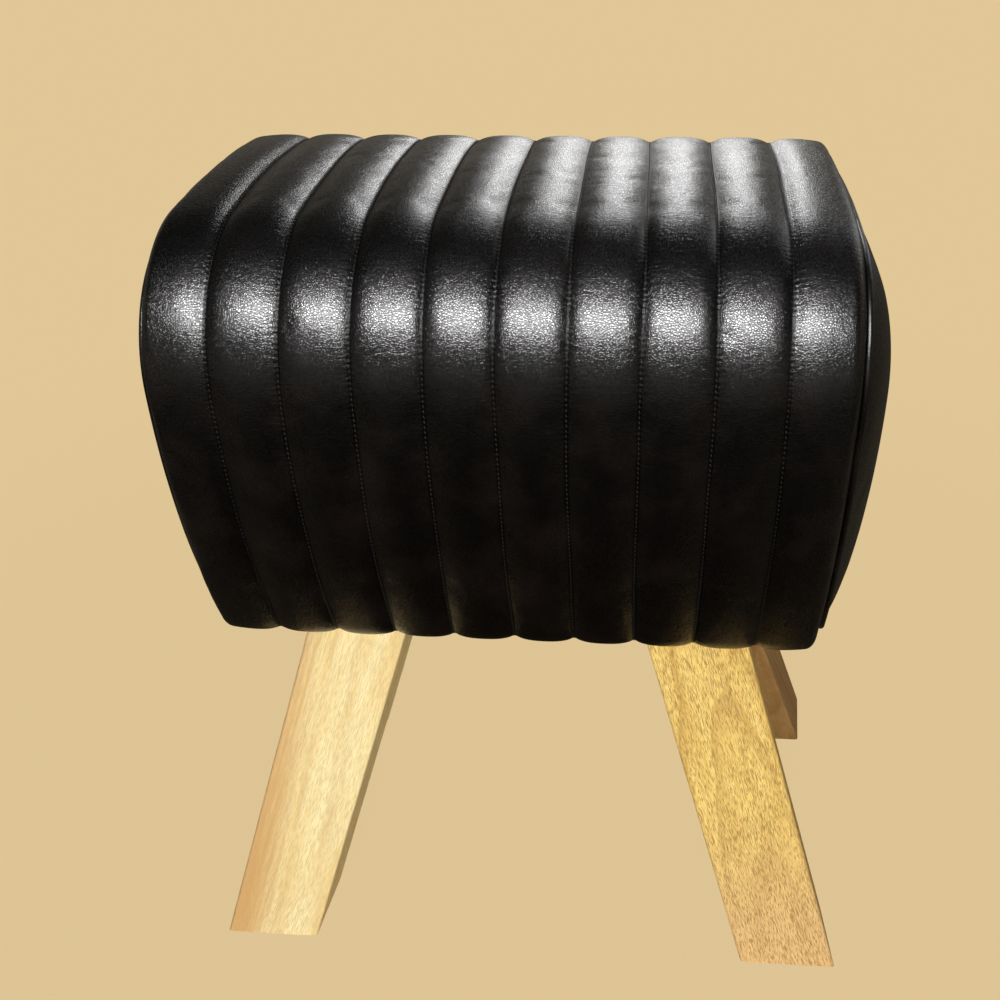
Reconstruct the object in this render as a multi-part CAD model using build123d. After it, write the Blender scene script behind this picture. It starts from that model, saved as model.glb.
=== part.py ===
from build123d import *
from math import sqrt
import os

# A padded stool. A leather wrap sewn into ten channels runs up the front, over the seat and
# down the back of a plywood box. A crowned leather panel with a piped edge closes each end,
# and four splayed hardwood legs are bolted up under the base board.
# Millimetres. +X runs along the seat, +Y from front to back, +Z up. The origin is on the
# floor under the middle of the seat.

# Cross-section of the cushion, measured on the sewn seams of the wrap
seat_height = 506.0
cushion_bottom = 264.0
cushion_depth = 275.0
widest_height = 399.0
side_bow_radius = 355.0
top_crown_radius = 650.0
top_corner_radius = 79.5
bottom_corner_radius = 18.5

# Channels of the wrap
rib_pitch = 35.0
inner_rib_count = 8
end_rib_width = 37.0
rib_rise = 3.8
end_rib_bulge = 9.0
end_drop = 13.3

# Leather, and the sewn sheet of wadding behind it
leather_thickness = 1.2
soft_gap = 0.3
wadding_in_seam = 1.5
wrap_tuck = 24.0

# Piping along the edge between the wrap and the end panels
piping_radius = 1.9
piping_sit = 1.0
piping_outset = 0.3
piping_tuck = 8.0

# Crowned ends. The level shares run from the piped edge to the middle of the dome, and the
# curve shares say how full the dome is over its middle and how steep at its edge.
end_crown = 31.0
crown_centre_height = 384.5
level_size_shares = (1.0, 0.95, 0.84, 0.68, 0.48, 0.28, 0.12)
crown_middle_share = 2.15
crown_edge_share = 0.84
panel_tuck = 14.0
panel_tuck_half_width = 72.0

# Foam
seat_foam_thickness = 35.0
end_padding = 14.0
side_padding = 33.5
pad_shoulder = 5.5
pad_shoulder_drop = 0.1

# Plywood box
carcass_corner_radius = 30.0
end_board_thickness = 15.0
base_board_thickness = 18.0
side_board_thickness = 6.0
side_board_lift = 8.0
top_board_thickness = 12.0
rail_depth = 45.0
post_width = 25.0

# Screws that hold the box together
screw_shank_radius = 2.0
screw_head_radius = 4.0
screw_head_depth = 3.0
screw_length = 36.0
screw_clearance = 0.15
base_screw_spacing = 70.0
rail_screw_setback = 14.0

# Legs: where the middle of a foot stands, how far the leg leans for each unit of height,
# and the section of the board
foot_along = 181.0
foot_across = 109.0
lean_along = 0.321
lean_across = 0.304
leg_width = 62.0
leg_thickness = 50.0
leg_edge_radius = 2.0

# Bolts that hold the legs
bolt_radius = 4.0
bolt_grip = 38.0
bolt_spacing = 28.0
bolt_head_across_flats = 13.0
bolt_head_height = 5.5
bolt_hole_clearance = 0.25
pilot_extra_depth = 2.0
washer_radius = 12.0
washer_thickness = 2.0

# Cloth under the base
cloth_thickness = 0.4
cloth_edge_margin = 5.0
cloth_leg_clearance = 3.0

# One overrun for every cut
overrun = 1000.0

# Sizes that follow from the ones above
half_depth = cushion_depth / 2
last_seam = rib_pitch * inner_rib_count / 2
half_length = last_seam + end_rib_width
piping_x = half_length + piping_outset
piping_inset = end_drop - piping_sit
wrap_edge = piping_x - piping_radius - soft_gap
wadding_top = leather_thickness + soft_gap
wrap_build = wadding_top + wadding_in_seam
foam_inset = wrap_build + soft_gap
panel_inset = piping_inset + piping_radius + soft_gap
pad_inset = panel_inset + leather_thickness + soft_gap
carcass_bottom = cushion_bottom + foam_inset
carcass_top = seat_height - foam_inset - seat_foam_thickness
carcass_half_length = half_length - end_padding
carcass_half_depth = half_depth - side_padding
board_face = carcass_half_length - end_board_thickness
inner_half_depth = carcass_half_depth - side_board_thickness
rail_bottom = carcass_top - carcass_corner_radius
base_top = carcass_bottom + base_board_thickness
top_half_depth = carcass_half_depth - carcass_corner_radius
rib_crest_bottom = cushion_bottom - rib_rise


def mirrored(point):
    """The same point of the cross-section, on the other side of the middle."""
    return Vector(-point.X, point.Y)


def along(centre, through, distance):
    """The point at a distance from a centre, in the direction of another point."""
    return centre + (through - centre).normalized() * distance


def meeting_centre(first, first_distance, second, second_distance):
    """The front-most point that lies a given distance from each of two centres."""
    gap = (second - first).length
    run = (first_distance**2 - second_distance**2 + gap**2) / (2 * gap)
    offset = sqrt(first_distance**2 - run**2)
    direction = (second - first).normalized()
    foot = first + direction * run
    side = Vector(-direction.Y, direction.X) * offset
    return min(foot + side, foot - side, key=lambda point: point.X)


# Centres of the arcs of the front half of the cross-section, as (depth, height)
side_centre = Vector(side_bow_radius - half_depth, widest_height)
top_centre = Vector(0, seat_height - top_crown_radius)
corner_centre = meeting_centre(
    side_centre,
    side_bow_radius - top_corner_radius,
    top_centre,
    top_crown_radius - top_corner_radius,
)
heel_height = cushion_bottom + bottom_corner_radius
heel_reach = sqrt((side_bow_radius - bottom_corner_radius) ** 2 - (widest_height - heel_height) ** 2)
heel_centre = Vector(side_centre.X - heel_reach, heel_height)
foam_split = corner_centre.Y


def arc(start, end, centre):
    """The shorter arc between two points round a centre."""
    first = start - centre
    bisector = (first.normalized() + (end - centre).normalized()).normalized()
    return ThreePointArc(start, centre + bisector * first.length, end)


def outline_points(inset):
    """Where the arcs of the section meet, from the front of the underside to its rear."""
    front = [
        heel_centre - Vector(0, bottom_corner_radius - inset),
        along(side_centre, heel_centre, side_bow_radius - inset),
        along(side_centre, corner_centre, side_bow_radius - inset),
        along(top_centre, corner_centre, top_crown_radius - inset),
    ]
    return front + [mirrored(point) for point in reversed(front)]


def outline_centres():
    """The centre of each arc of the section, in the same order."""
    front = [heel_centre, side_centre, corner_centre]
    return front + [top_centre] + [mirrored(centre) for centre in reversed(front)]


def outline_arcs(inset, resized=lambda point: point):
    """The seven tangent arcs of the section, a distance inside the seams."""
    points = [resized(point) for point in outline_points(inset)]
    centres = [resized(centre) for centre in outline_centres()]
    return [arc(*step) for step in zip(points, points[1:], centres)]


def closed_outline(inset, size_share=1):
    """The whole section closed along the underside, or a share of it about the crown."""
    crown_centre = Vector(0, crown_centre_height)
    arcs = outline_arcs(inset, lambda point: crown_centre + (point - crown_centre) * size_share)
    return Wire(arcs + [Line(arcs[-1] @ 1, arcs[0] @ 0)])


def open_outline(inset, tuck):
    """The section left open below, with both ends turned under by the tuck."""
    points = outline_points(inset)
    front_end = points[0] + Vector(tuck, 0)
    rear_end = points[-1] - Vector(tuck, 0)
    return Wire([Line(front_end, points[0])] + outline_arcs(inset) + [Line(points[-1], rear_end)])


def section_plane(x):
    """The plane across the stool at a place along it, with depth and height as its axes."""
    return Plane(origin=(x, 0, 0), x_dir=(0, 1, 0), z_dir=(1, 0, 0))


def across(x, shape):
    """Stands a shape drawn as depth and height across the stool."""
    return section_plane(x) * shape


def run_along(face, start, end):
    """Extrudes a cross-section between two places along the stool."""
    return extrude(across(start, face), amount=end - start)


# The end channel rolls over to the piping in one arc
end_seam = Vector(last_seam, 0)
end_edge = Vector(half_length, -end_drop)
end_chord = end_edge - end_seam
end_rib_radius = ((end_chord.length / 2) ** 2 + end_rib_bulge**2) / (2 * end_rib_bulge)
end_chord_normal = Vector(-end_chord.Y, end_chord.X).normalized()
end_rib_centre = (end_seam + end_edge) / 2 - end_chord_normal * (end_rib_radius - end_rib_bulge)


def end_rib_rise(x):
    """Height of the end channel's leather over the seam line."""
    return end_rib_centre.Y + sqrt(end_rib_radius**2 - (x - end_rib_centre.X) ** 2)


def end_rib_reach(rise):
    """Where the end channel has come down to a height."""
    return end_rib_centre.X + sqrt(end_rib_radius**2 - (rise - end_rib_centre.Y) ** 2)


def end_channel(edge, lower):
    """The arc of the right end channel, out to an edge."""
    middle = (last_seam + edge) / 2
    return ThreePointArc(
        Vector(last_seam, -lower),
        Vector(middle, end_rib_rise(middle) - lower),
        Vector(edge, end_rib_rise(edge) - lower),
    )


def channel_line(edge, lower):
    """The wavy line of all channels, lowered into the padding, as (along, outward)."""
    right = end_channel(edge, lower)
    seams = [rib_pitch * (number - inner_rib_count / 2) for number in range(inner_rib_count + 1)]
    inner = [
        ThreePointArc(
            Vector(start, -lower),
            Vector((start + end) / 2, rib_rise - lower),
            Vector(end, -lower),
        )
        for start, end in zip(seams, seams[1:])
    ]
    return [right.mirror(Plane.YZ)] + inner + [right]


def swept_wrap(section_edges, inset, tuck):
    """Sweeps a section, drawn as (along, outward), round the cushion from hem to hem."""
    path = across(0, open_outline(inset, tuck))
    start = Plane(origin=path @ 0, x_dir=(1, 0, 0), z_dir=path % 0)
    section = Face(Wire(section_edges)).mirror(Plane.XZ)
    return sweep(start * section, path=path)


def ribbed_cover():
    """Leather sewn into channels, of even thickness."""
    outer = channel_line(wrap_edge, 0)
    inner = channel_line(wrap_edge, leather_thickness)
    sides = [
        Line(outer[0] @ 1, inner[0] @ 1),
        Line(outer[-1] @ 1, inner[-1] @ 1),
    ]
    return swept_wrap(outer + inner + sides, 0, wrap_tuck)


def quilt_wadding():
    """The sheet of wadding that fills the channels and is sewn thin along each seam."""
    edge = end_rib_reach(wadding_top - wrap_build)
    outer = channel_line(edge, wadding_top)
    base = Line(outer[0] @ 1, outer[-1] @ 1)
    return swept_wrap(outer + [base], 0, wrap_tuck)


def dome(side, inset, rise):
    """A crowned end that starts at the piping, swelling outward from one outline."""
    levels = []
    for size_share in level_size_shares:
        rise_share = (1 - size_share**crown_middle_share) ** crown_edge_share
        levels.append(across(piping_x + rise * rise_share, Face(closed_outline(inset, size_share))))
    right = loft(levels)
    return right if side > 0 else right.mirror(Plane.YZ)


def shoulder_sections():
    """Places and insets of the end pad between the board and the piping."""
    shoulder_x = carcass_half_length + pad_shoulder
    return [
        (carcass_half_length, foam_inset + pad_shoulder_drop),
        (shoulder_x, foam_inset + pad_shoulder_drop),
        (wrap_edge, panel_inset + soft_gap),
        (piping_x, pad_inset),
    ]


def end_pad(side):
    """Foam block on an end board, rounded over to the piping and crowned."""
    sections = [across(x, Face(closed_outline(inset))) for x, inset in shoulder_sections()]
    body = loft(sections, ruled=True)
    right = body + dome(1, pad_inset, end_crown - leather_thickness - soft_gap)
    return right if side > 0 else right.mirror(Plane.YZ)


def panel_hem():
    """The lower edge of an end panel, turned under the base board."""
    (_, board_inset), (shoulder_x, _), (edge_x, edge_inset), _ = shoulder_sections()
    inner_z = cushion_bottom + board_inset - soft_gap - pad_shoulder_drop
    outer_z = inner_z - leather_thickness
    hem_start = carcass_half_length - panel_tuck
    profile = Polyline(
        (hem_start, outer_z),
        (shoulder_x + leather_thickness / 2, outer_z),
        (edge_x + leather_thickness / 2, cushion_bottom + edge_inset - leather_thickness - soft_gap),
        (piping_x, cushion_bottom + panel_inset),
        (piping_x, cushion_bottom + panel_inset + leather_thickness),
        (edge_x, cushion_bottom + edge_inset - soft_gap),
        (shoulder_x, inner_z),
        (hem_start, inner_z),
        close=True,
    )
    hem = Plane.XZ * Face(Wire(profile.edges()))
    return extrude(hem, amount=panel_tuck_half_width, both=True)


def end_panel(side):
    """Crowned leather panel, with its hem turned under."""
    inner_rise = end_crown - leather_thickness
    skin = dome(1, panel_inset, end_crown) - dome(1, panel_inset + leather_thickness, inner_rise)
    right = skin + panel_hem()
    return right if side > 0 else right.mirror(Plane.YZ)


def piping(side):
    """Leather-covered cord sewn along the edge of the wrap, turned under at both ends."""
    path = across(side * piping_x, open_outline(piping_inset, piping_tuck))
    start = Plane(origin=path @ 0, z_dir=path % 0)
    return sweep(start * Circle(piping_radius), path=path)


def carcass_outline(grow):
    """Outer outline of the plywood box with its rounded top corners, grown outward."""
    width = 2 * (carcass_half_depth + grow)
    height = carcass_top + grow - carcass_bottom + carcass_corner_radius
    middle = carcass_top + grow - height / 2
    rounded = Pos(0, middle) * RectangleRounded(width, height, carcass_corner_radius + grow)
    return rounded & above(carcass_bottom)


def above(height):
    """Everything in the cross-section over a height."""
    return Pos(0, height + overrun / 2) * Rectangle(overrun, overrun)


def beyond(depth):
    """Everything in the cross-section further back than a depth."""
    return Pos(depth + overrun / 2, 0) * Rectangle(overrun, 2 * overrun)


def seat_foam():
    """Thick slab over the seat that rounds down over both upper edges of the box."""
    slab = Face(closed_outline(foam_inset)) - carcass_outline(soft_gap)
    return run_along(slab & above(foam_split), -carcass_half_length, carcass_half_length)


def side_foam(side):
    """Bowed slab on the front or the back of the box."""
    below_seat = Face(closed_outline(foam_inset)) - above(foam_split - soft_gap)
    profile = below_seat & beyond(carcass_half_depth + soft_gap)
    slab = run_along(profile, -carcass_half_length, carcass_half_length)
    return slab if side > 0 else slab.mirror(Plane.XZ)


def end_board_screws():
    """Where screws pass through an end board, as (depth, height)."""
    base_middle = carcass_bottom + base_board_thickness / 2
    rail_screw = carcass_half_depth - rail_screw_setback
    rail_middle = rail_bottom + (carcass_corner_radius - top_board_thickness) / 2
    post_screw = inner_half_depth - post_width / 2
    post_middle = (base_top + rail_bottom) / 2
    return [
        (-base_screw_spacing, base_middle),
        (0, base_middle),
        (base_screw_spacing, base_middle),
        (-rail_screw, rail_middle),
        (rail_screw, rail_middle),
        (-post_screw, post_middle),
        (post_screw, post_middle),
    ]


def countersunk_screw(gap):
    """A screw or its hole, pointing along -X with its head flush at x = 0."""
    head = screw_head_radius + gap
    shank = screw_shank_radius + gap
    profile = Polyline(
        (0, 0),
        (0, head),
        (-screw_head_depth, shank),
        (-screw_length - gap, shank),
        (-screw_length - gap, 0),
        close=True,
    )
    return revolve(Face(Wire(profile.edges())), axis=Axis.X)


def frame_screws(gap):
    """All screws of the box, or their holes."""
    right = [
        Pos(carcass_half_length, depth, height) * countersunk_screw(gap)
        for depth, height in end_board_screws()
    ]
    return right + [screw.mirror(Plane.YZ) for screw in right]


def with_screw_holes(board):
    """A board drilled where the screws of the box pass."""
    return board - frame_screws(screw_clearance)


def end_board(side):
    """Shaped end of the box, rebated down both edges for the side boards."""
    rebate = beyond(inner_half_depth) - above(rail_bottom)
    profile = carcass_outline(0) - rebate - rebate.mirror(Plane.YZ)
    board = run_along(profile, board_face, carcass_half_length)
    return with_screw_holes(board if side > 0 else board.mirror(Plane.YZ))


def side_board(side):
    """Thin board that closes the front or the back of the box."""
    height = rail_bottom - carcass_bottom - side_board_lift
    depth_middle = side * (inner_half_depth + side_board_thickness / 2)
    board = Box(2 * carcass_half_length, side_board_thickness, height)
    return Pos(0, depth_middle, rail_bottom - height / 2) * board


def upper_rail(side):
    """Rail between the end boards, rounded outside and rebated for the top board."""
    corner = carcass_outline(0) & above(rail_bottom) & beyond(carcass_half_depth - rail_depth)
    rebate = above(carcass_top - top_board_thickness) - beyond(top_half_depth)
    profile = corner - rebate
    rail = run_along(profile, -board_face, board_face)
    return with_screw_holes(rail if side > 0 else rail.mirror(Plane.XZ))


def top_board():
    """Board under the seat foam, let into the rebates of both rails."""
    middle = carcass_top - top_board_thickness / 2
    return Pos(0, 0, middle) * Box(2 * board_face, 2 * top_half_depth, top_board_thickness)


def base_board():
    """Thick board that carries the legs."""
    middle = carcass_bottom + base_board_thickness / 2
    board = Pos(0, 0, middle) * Box(2 * board_face, 2 * inner_half_depth, base_board_thickness)
    holes = [
        Pos(place.X, place.Y, middle) * Cylinder(bolt_radius + bolt_hole_clearance, 2 * base_board_thickness)
        for place in bolt_places()
    ]
    return with_screw_holes(board - holes)


def corner_posts():
    """Posts inside the corners of the box, between the base board and the rails."""
    height = rail_bottom - base_top
    x = board_face - post_width / 2
    y = inner_half_depth - post_width / 2
    posts = [
        Pos(sx * x, sy * y, base_top + height / 2) * Box(post_width, post_width, height)
        for sx in (-1, 1)
        for sy in (-1, 1)
    ]
    return [with_screw_holes(post) for post in posts]


def leg_axis_point(height):
    """The middle of the front right leg at a height."""
    return Vector(foot_along - lean_along * height, -foot_across + lean_across * height, height)


def bolt_places():
    """Where the leg bolts stand, so that each runs down inside its leaning leg."""
    middle = leg_axis_point(carcass_bottom - bolt_grip / 2)
    return [
        Vector(sx * (middle.X + step * bolt_spacing / 2), sy * -middle.Y)
        for sx in (-1, 1)
        for sy in (-1, 1)
        for step in (-1, 1)
    ]


def leg_bolt(gap, extra_depth):
    """A bolt's shank, or its hole in a leg, with its top at the underside of the washer."""
    length = bolt_grip + base_board_thickness + washer_thickness + extra_depth
    top = base_top + washer_thickness
    return Pos(0, 0, top - length / 2) * Cylinder(bolt_radius + gap, length)


def leg_bolts():
    """Hexagon-headed bolts, two to a leg."""
    hexagon = RegularPolygon(bolt_head_across_flats / 2, 6, major_radius=False)
    head = Pos(0, 0, base_top + washer_thickness) * extrude(hexagon, amount=bolt_head_height)
    bolt = head + leg_bolt(0, 0)
    return [Pos(place) * bolt for place in bolt_places()]


def leg_washers():
    """Wide washers under the bolt heads."""
    ring = Circle(washer_radius) - Circle(bolt_radius + bolt_hole_clearance)
    washer = Pos(0, 0, base_top) * extrude(ring, amount=washer_thickness)
    return [Pos(place) * washer for place in bolt_places()]


def leg_directions():
    """Unit vectors of the front right leg: up it, and across its wide and its narrow face."""
    up = (leg_axis_point(carcass_bottom) - leg_axis_point(0)).normalized()
    narrow = Vector(1, 0, 0).cross(up).normalized()
    return up, up.cross(narrow).normalized(), narrow


def level_half_size():
    """Half the size of a leg's level cut, along and across the stool."""
    up, wide, narrow = leg_directions()
    edges = [
        (wide - up * (wide.Z / up.Z)) * (leg_width / 2),
        (narrow - up * (narrow.Z / up.Z)) * (leg_thickness / 2),
    ]
    return sum(abs(edge.X) for edge in edges), sum(abs(edge.Y) for edge in edges)


def leg(along_side, across_side):
    """A board that leans both ways, cut level at the floor and under the base board."""
    up, wide, _ = leg_directions()
    length = carcass_bottom / up.Z + 2 * leg_width
    frame = Plane(origin=leg_axis_point(carcass_bottom / 2), x_dir=wide, z_dir=up)
    section = RectangleRounded(leg_width, leg_thickness, leg_edge_radius)
    board = extrude(frame * section, amount=length / 2, both=True)
    level = Pos(0, 0, carcass_bottom / 2) * Box(overrun, overrun, carcass_bottom)
    holes = [Pos(place) * leg_bolt(bolt_hole_clearance, pilot_extra_depth) for place in bolt_places()]
    right_front = (board & level) - holes
    placed = right_front if along_side > 0 else right_front.mirror(Plane.YZ)
    return placed if across_side < 0 else placed.mirror(Plane.XZ)


def base_cloth():
    """Cloth that closes the underside, cut out round the legs."""
    half_along = carcass_half_length - cloth_edge_margin
    half_across = inner_half_depth - cloth_edge_margin
    half_leg_along, half_leg_across = level_half_size()
    leg_middle = leg_axis_point(rib_crest_bottom)
    outer_reach = leg_middle.X + half_leg_along + cloth_leg_clearance
    inner_reach = leg_middle.X - half_leg_along - cloth_leg_clearance
    across_reach = half_leg_across - leg_middle.Y + cloth_leg_clearance
    sheet = Rectangle(2 * half_along, 2 * half_across)
    for side in (-1, 1):
        middle = side * (outer_reach + inner_reach) / 2
        sheet -= Pos(middle, 0) * Rectangle(outer_reach - inner_reach, 2 * across_reach)
    top = rib_crest_bottom - soft_gap
    return Pos(0, 0, top - cloth_thickness) * extrude(sheet, amount=cloth_thickness)


def solids_of(shape):
    """All solids in a shape or a list of shapes."""
    shapes = shape if isinstance(shape, list) else [shape]
    return [solid for item in shapes for solid in item.solids()]


nodes = {
    "ribbed_cover": ribbed_cover(),
    "quilt_wadding": quilt_wadding(),
    "end_panel_left": end_panel(-1),
    "end_panel_right": end_panel(1),
    "piping_left": piping(-1),
    "piping_right": piping(1),
    "seat_foam": seat_foam(),
    "front_foam": side_foam(-1),
    "rear_foam": side_foam(1),
    "end_pad_left": end_pad(-1),
    "end_pad_right": end_pad(1),
    "end_board_left": end_board(-1),
    "end_board_right": end_board(1),
    "front_board": side_board(-1),
    "rear_board": side_board(1),
    "front_rail": upper_rail(-1),
    "rear_rail": upper_rail(1),
    "top_board": top_board(),
    "base_board": base_board(),
    "corner_posts": corner_posts(),
    "frame_screws": frame_screws(0),
    "leg_bolts": leg_bolts(),
    "leg_washers": leg_washers(),
    "base_cloth": base_cloth(),
    "leg_front_left": leg(-1, -1),
    "leg_front_right": leg(1, -1),
    "leg_rear_left": leg(-1, 1),
    "leg_rear_right": leg(1, 1),
}

os.makedirs("parts", exist_ok=True)
for name, shape in nodes.items():
    export_step(Compound(solids_of(shape)), f"parts/{name}.step")
print(len(nodes), "nodes written")
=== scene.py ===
# %% [markdown]
# # A channelled leather stool
# The stool is a padded box on four splayed legs. Its black leather is sewn into ten channels
# that run up the front, over the seat and down the back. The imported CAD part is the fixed
# frame: every looks piece below is made in metres in that same frame, so it needs no fitting.

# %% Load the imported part
import math

import bmesh
import bpy
import numpy as np
from mathutils import Matrix, Vector


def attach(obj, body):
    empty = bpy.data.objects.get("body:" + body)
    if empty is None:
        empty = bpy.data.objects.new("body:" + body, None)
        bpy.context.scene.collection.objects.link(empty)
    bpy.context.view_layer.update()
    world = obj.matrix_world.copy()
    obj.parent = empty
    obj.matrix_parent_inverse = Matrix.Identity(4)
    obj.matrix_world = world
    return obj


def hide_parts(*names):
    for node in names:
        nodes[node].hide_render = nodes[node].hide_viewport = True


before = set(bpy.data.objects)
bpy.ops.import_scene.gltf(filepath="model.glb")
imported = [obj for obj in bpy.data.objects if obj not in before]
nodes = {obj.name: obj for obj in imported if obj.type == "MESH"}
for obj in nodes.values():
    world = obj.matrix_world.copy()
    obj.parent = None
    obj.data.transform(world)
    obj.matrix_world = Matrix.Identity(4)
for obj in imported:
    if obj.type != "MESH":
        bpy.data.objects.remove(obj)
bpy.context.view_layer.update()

scene = bpy.context.scene
MM = 0.001
print("CAD nodes loaded:", len(nodes))

# %% [markdown]
# ## The camera
# A likeness starts with the eye. The camera's place, turn and lens were worked out from the
# seams and legs of the photograph, so they are typed as numbers. A camera looks along its own
# -Z, so its matrix is built from its right, up and backward directions.

# %% Camera
camera_place = Vector((74.5, -596.5, 680.3)) * MM
camera_yaw = -0.08353
camera_pitch_down = 0.60423
camera_roll = -0.013805
camera_lens = 39.10
camera_shift = (-0.0704, 0.0315)


def camera_directions():
    """Right, up and forward of the camera, with its roll."""
    forward = Vector((
        math.sin(camera_yaw) * math.cos(camera_pitch_down),
        math.cos(camera_yaw) * math.cos(camera_pitch_down),
        -math.sin(camera_pitch_down),
    ))
    level_right = Vector((math.cos(camera_yaw), -math.sin(camera_yaw), 0))
    level_up = level_right.cross(forward)
    right = level_right * math.cos(camera_roll) + level_up * math.sin(camera_roll)
    up = level_up * math.cos(camera_roll) - level_right * math.sin(camera_roll)
    return right, up, forward


def place_camera():
    """Makes the scene's camera."""
    data = bpy.data.cameras.new("photo_camera")
    data.sensor_width = 36
    data.lens = camera_lens
    data.shift_x, data.shift_y = camera_shift
    data.clip_start = 0.01
    camera = bpy.data.objects.new("photo_camera", data)
    scene.collection.objects.link(camera)
    right, up, forward = camera_directions()
    turn = Matrix((right, up, -forward)).transposed().to_4x4()
    camera.matrix_world = Matrix.Translation(camera_place) @ turn
    scene.camera = camera
    return camera


place_camera()
scene.view_settings.view_transform = "Standard"
print("Camera height in mm:", round(camera_place.z / MM))

# %% [markdown]
# ## Shader helpers
# Materials are graphs of nodes. A few small helpers keep each graph readable: one gives a node
# its inputs, one adds a node with its settings and inputs in a single call, and one starts an
# empty material with its surface shader ready.

# %% Shader helpers


def feed(tree, node, inputs):
    """Gives a node its inputs; each is either a value or the socket that feeds it."""
    for name, value in inputs.items():
        if isinstance(value, bpy.types.NodeSocket):
            tree.links.new(value, node.inputs[name])
        else:
            node.inputs[name].default_value = value


def add_node(tree, kind, inputs=None, **settings):
    """Adds a node with its settings and its inputs."""
    node = tree.nodes.new(kind)
    for name, value in settings.items():
        setattr(node, name, value)
    feed(tree, node, inputs or {})
    return node


def new_material(name):
    """An empty material with its node tree and its surface shader."""
    material = bpy.data.materials.new(name)
    material.use_nodes = True
    tree = material.node_tree
    shader = next(node for node in tree.nodes if node.type == "BSDF_PRINCIPLED")
    return material, tree, shader


print("Shader helpers ready")

# %% [markdown]
# ## Steps of a pattern
# A procedural pattern is built of small steps: arithmetic, a smooth fade, a noise, a place that
# is stretched or shaken, a colour between two others, some relief. Each step is one node, and a
# short helper stands for it, so that a material reads like a recipe.

# %% Pattern helpers
noise_span = (0.3, 0.7)


def calc(tree, operation, *values):
    """One step of arithmetic."""
    return add_node(tree, "ShaderNodeMath", dict(enumerate(values)), operation=operation).outputs[0]


def times(tree, first, second):
    """A product."""
    return calc(tree, "MULTIPLY", first, second)


def fade(tree, value, low, high, at_low=0.0, at_high=1.0, shape="SMOOTHSTEP"):
    """Turns from one number to another as the value passes between two levels."""
    inputs = {0: value, 1: low, 2: high, 3: at_low, 4: at_high}
    return add_node(tree, "ShaderNodeMapRange", inputs, interpolation_type=shape).outputs[0]


def uneven(tree, pattern, low, high):
    """A roughness that follows a noise, whose values mostly lie in its usual span."""
    return fade(tree, pattern, *noise_span, low, high)


def noise(tree, place, scale, detail=2.0, output="Fac"):
    """Soft random values over space."""
    inputs = {"Vector": place, "Scale": scale, "Detail": detail}
    return add_node(tree, "ShaderNodeTexNoise", inputs).outputs[output]


def object_place(tree):
    """Where a point of the piece lies, in metres."""
    return add_node(tree, "ShaderNodeTexCoord").outputs["Object"]


def parts_of(tree, place):
    """The three numbers of a place."""
    return add_node(tree, "ShaderNodeSeparateXYZ", {0: place}).outputs


def length_of(tree, place):
    """How far a place lies from the origin."""
    return add_node(tree, "ShaderNodeVectorMath", {0: place}, operation="LENGTH").outputs["Value"]


def vector_step(tree, operation, *values):
    """One step of vector arithmetic."""
    node = add_node(tree, "ShaderNodeVectorMath", dict(enumerate(values)), operation=operation)
    return node.outputs[0]


def stretched(tree, place, *factors):
    """A place multiplied by three factors; a small one draws the pattern out that way."""
    return vector_step(tree, "MULTIPLY", place, factors)


def in_mm(tree, place):
    """A place in millimetres."""
    return stretched(tree, place, 1000, 1000, 1000)


def turned_place(tree, place, move, turn):
    """A place moved and turned into a piece of wood."""
    inputs = {"Vector": place, "Location": move, "Rotation": turn}
    return add_node(tree, "ShaderNodeMapping", inputs).outputs[0]


def shaken(tree, place, scale, amount):
    """A place moved at random, so that a pattern on it loses its regularity."""
    push = noise(tree, place, scale, 2.0, "Color")
    push = vector_step(tree, "SUBTRACT", push, (0.5, 0.5, 0.5))
    return vector_step(tree, "ADD", place, stretched(tree, push, amount, amount, amount))


def joined(tree, parts):
    """A place from its parts, each given by its number."""
    return add_node(tree, "ShaderNodeCombineXYZ", parts).outputs[0]


def mixed(tree, share, first, second):
    """A colour between two others."""
    node = add_node(tree, "ShaderNodeMix", {0: share, 6: first, 7: second}, data_type="RGBA")
    return node.outputs[2]


def bump(tree, height, distance, below=None):
    """Relief from a height, laid over any relief below it."""
    inputs = {"Height": height, "Distance": distance}
    if below is not None:
        inputs["Normal"] = below
    return add_node(tree, "ShaderNodeBump", inputs).outputs[0]


print("Pattern helpers ready")

# %% [markdown]
# ## Floor
# The photograph is a cut-out on a plain tan ground. The floor takes that colour, both as paint
# that can hold a shadow and, for the camera and for mirror rays, as a light of its own, so the
# ground stays even. Paint alone would fade away from the lamps. The shine on the leather shows
# that the real floor was much darker than the tan ground, so mirror rays see a darker glow, a
# painted reflection, with painted shade darkest in front of the stool's middle.

# %% Floor
ground_colour = (0.752, 0.571, 0.309, 1)
# Glows seen by mirror rays: a painted reflection of a darker floor, with painted shade near the stool.
reflection_shade_colour = (0.004, 0.0035, 0.003, 1)
reflected_floor_colour = (0.062, 0.053, 0.038, 1)
reflection_shade_reach = (50 * MM, 500 * MM)
own_light_near_share = 0.95
own_light_far_share = 1.0
shadow_reach = (350 * MM, 1100 * MM)
floor_half_size = 9000 * MM


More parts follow.
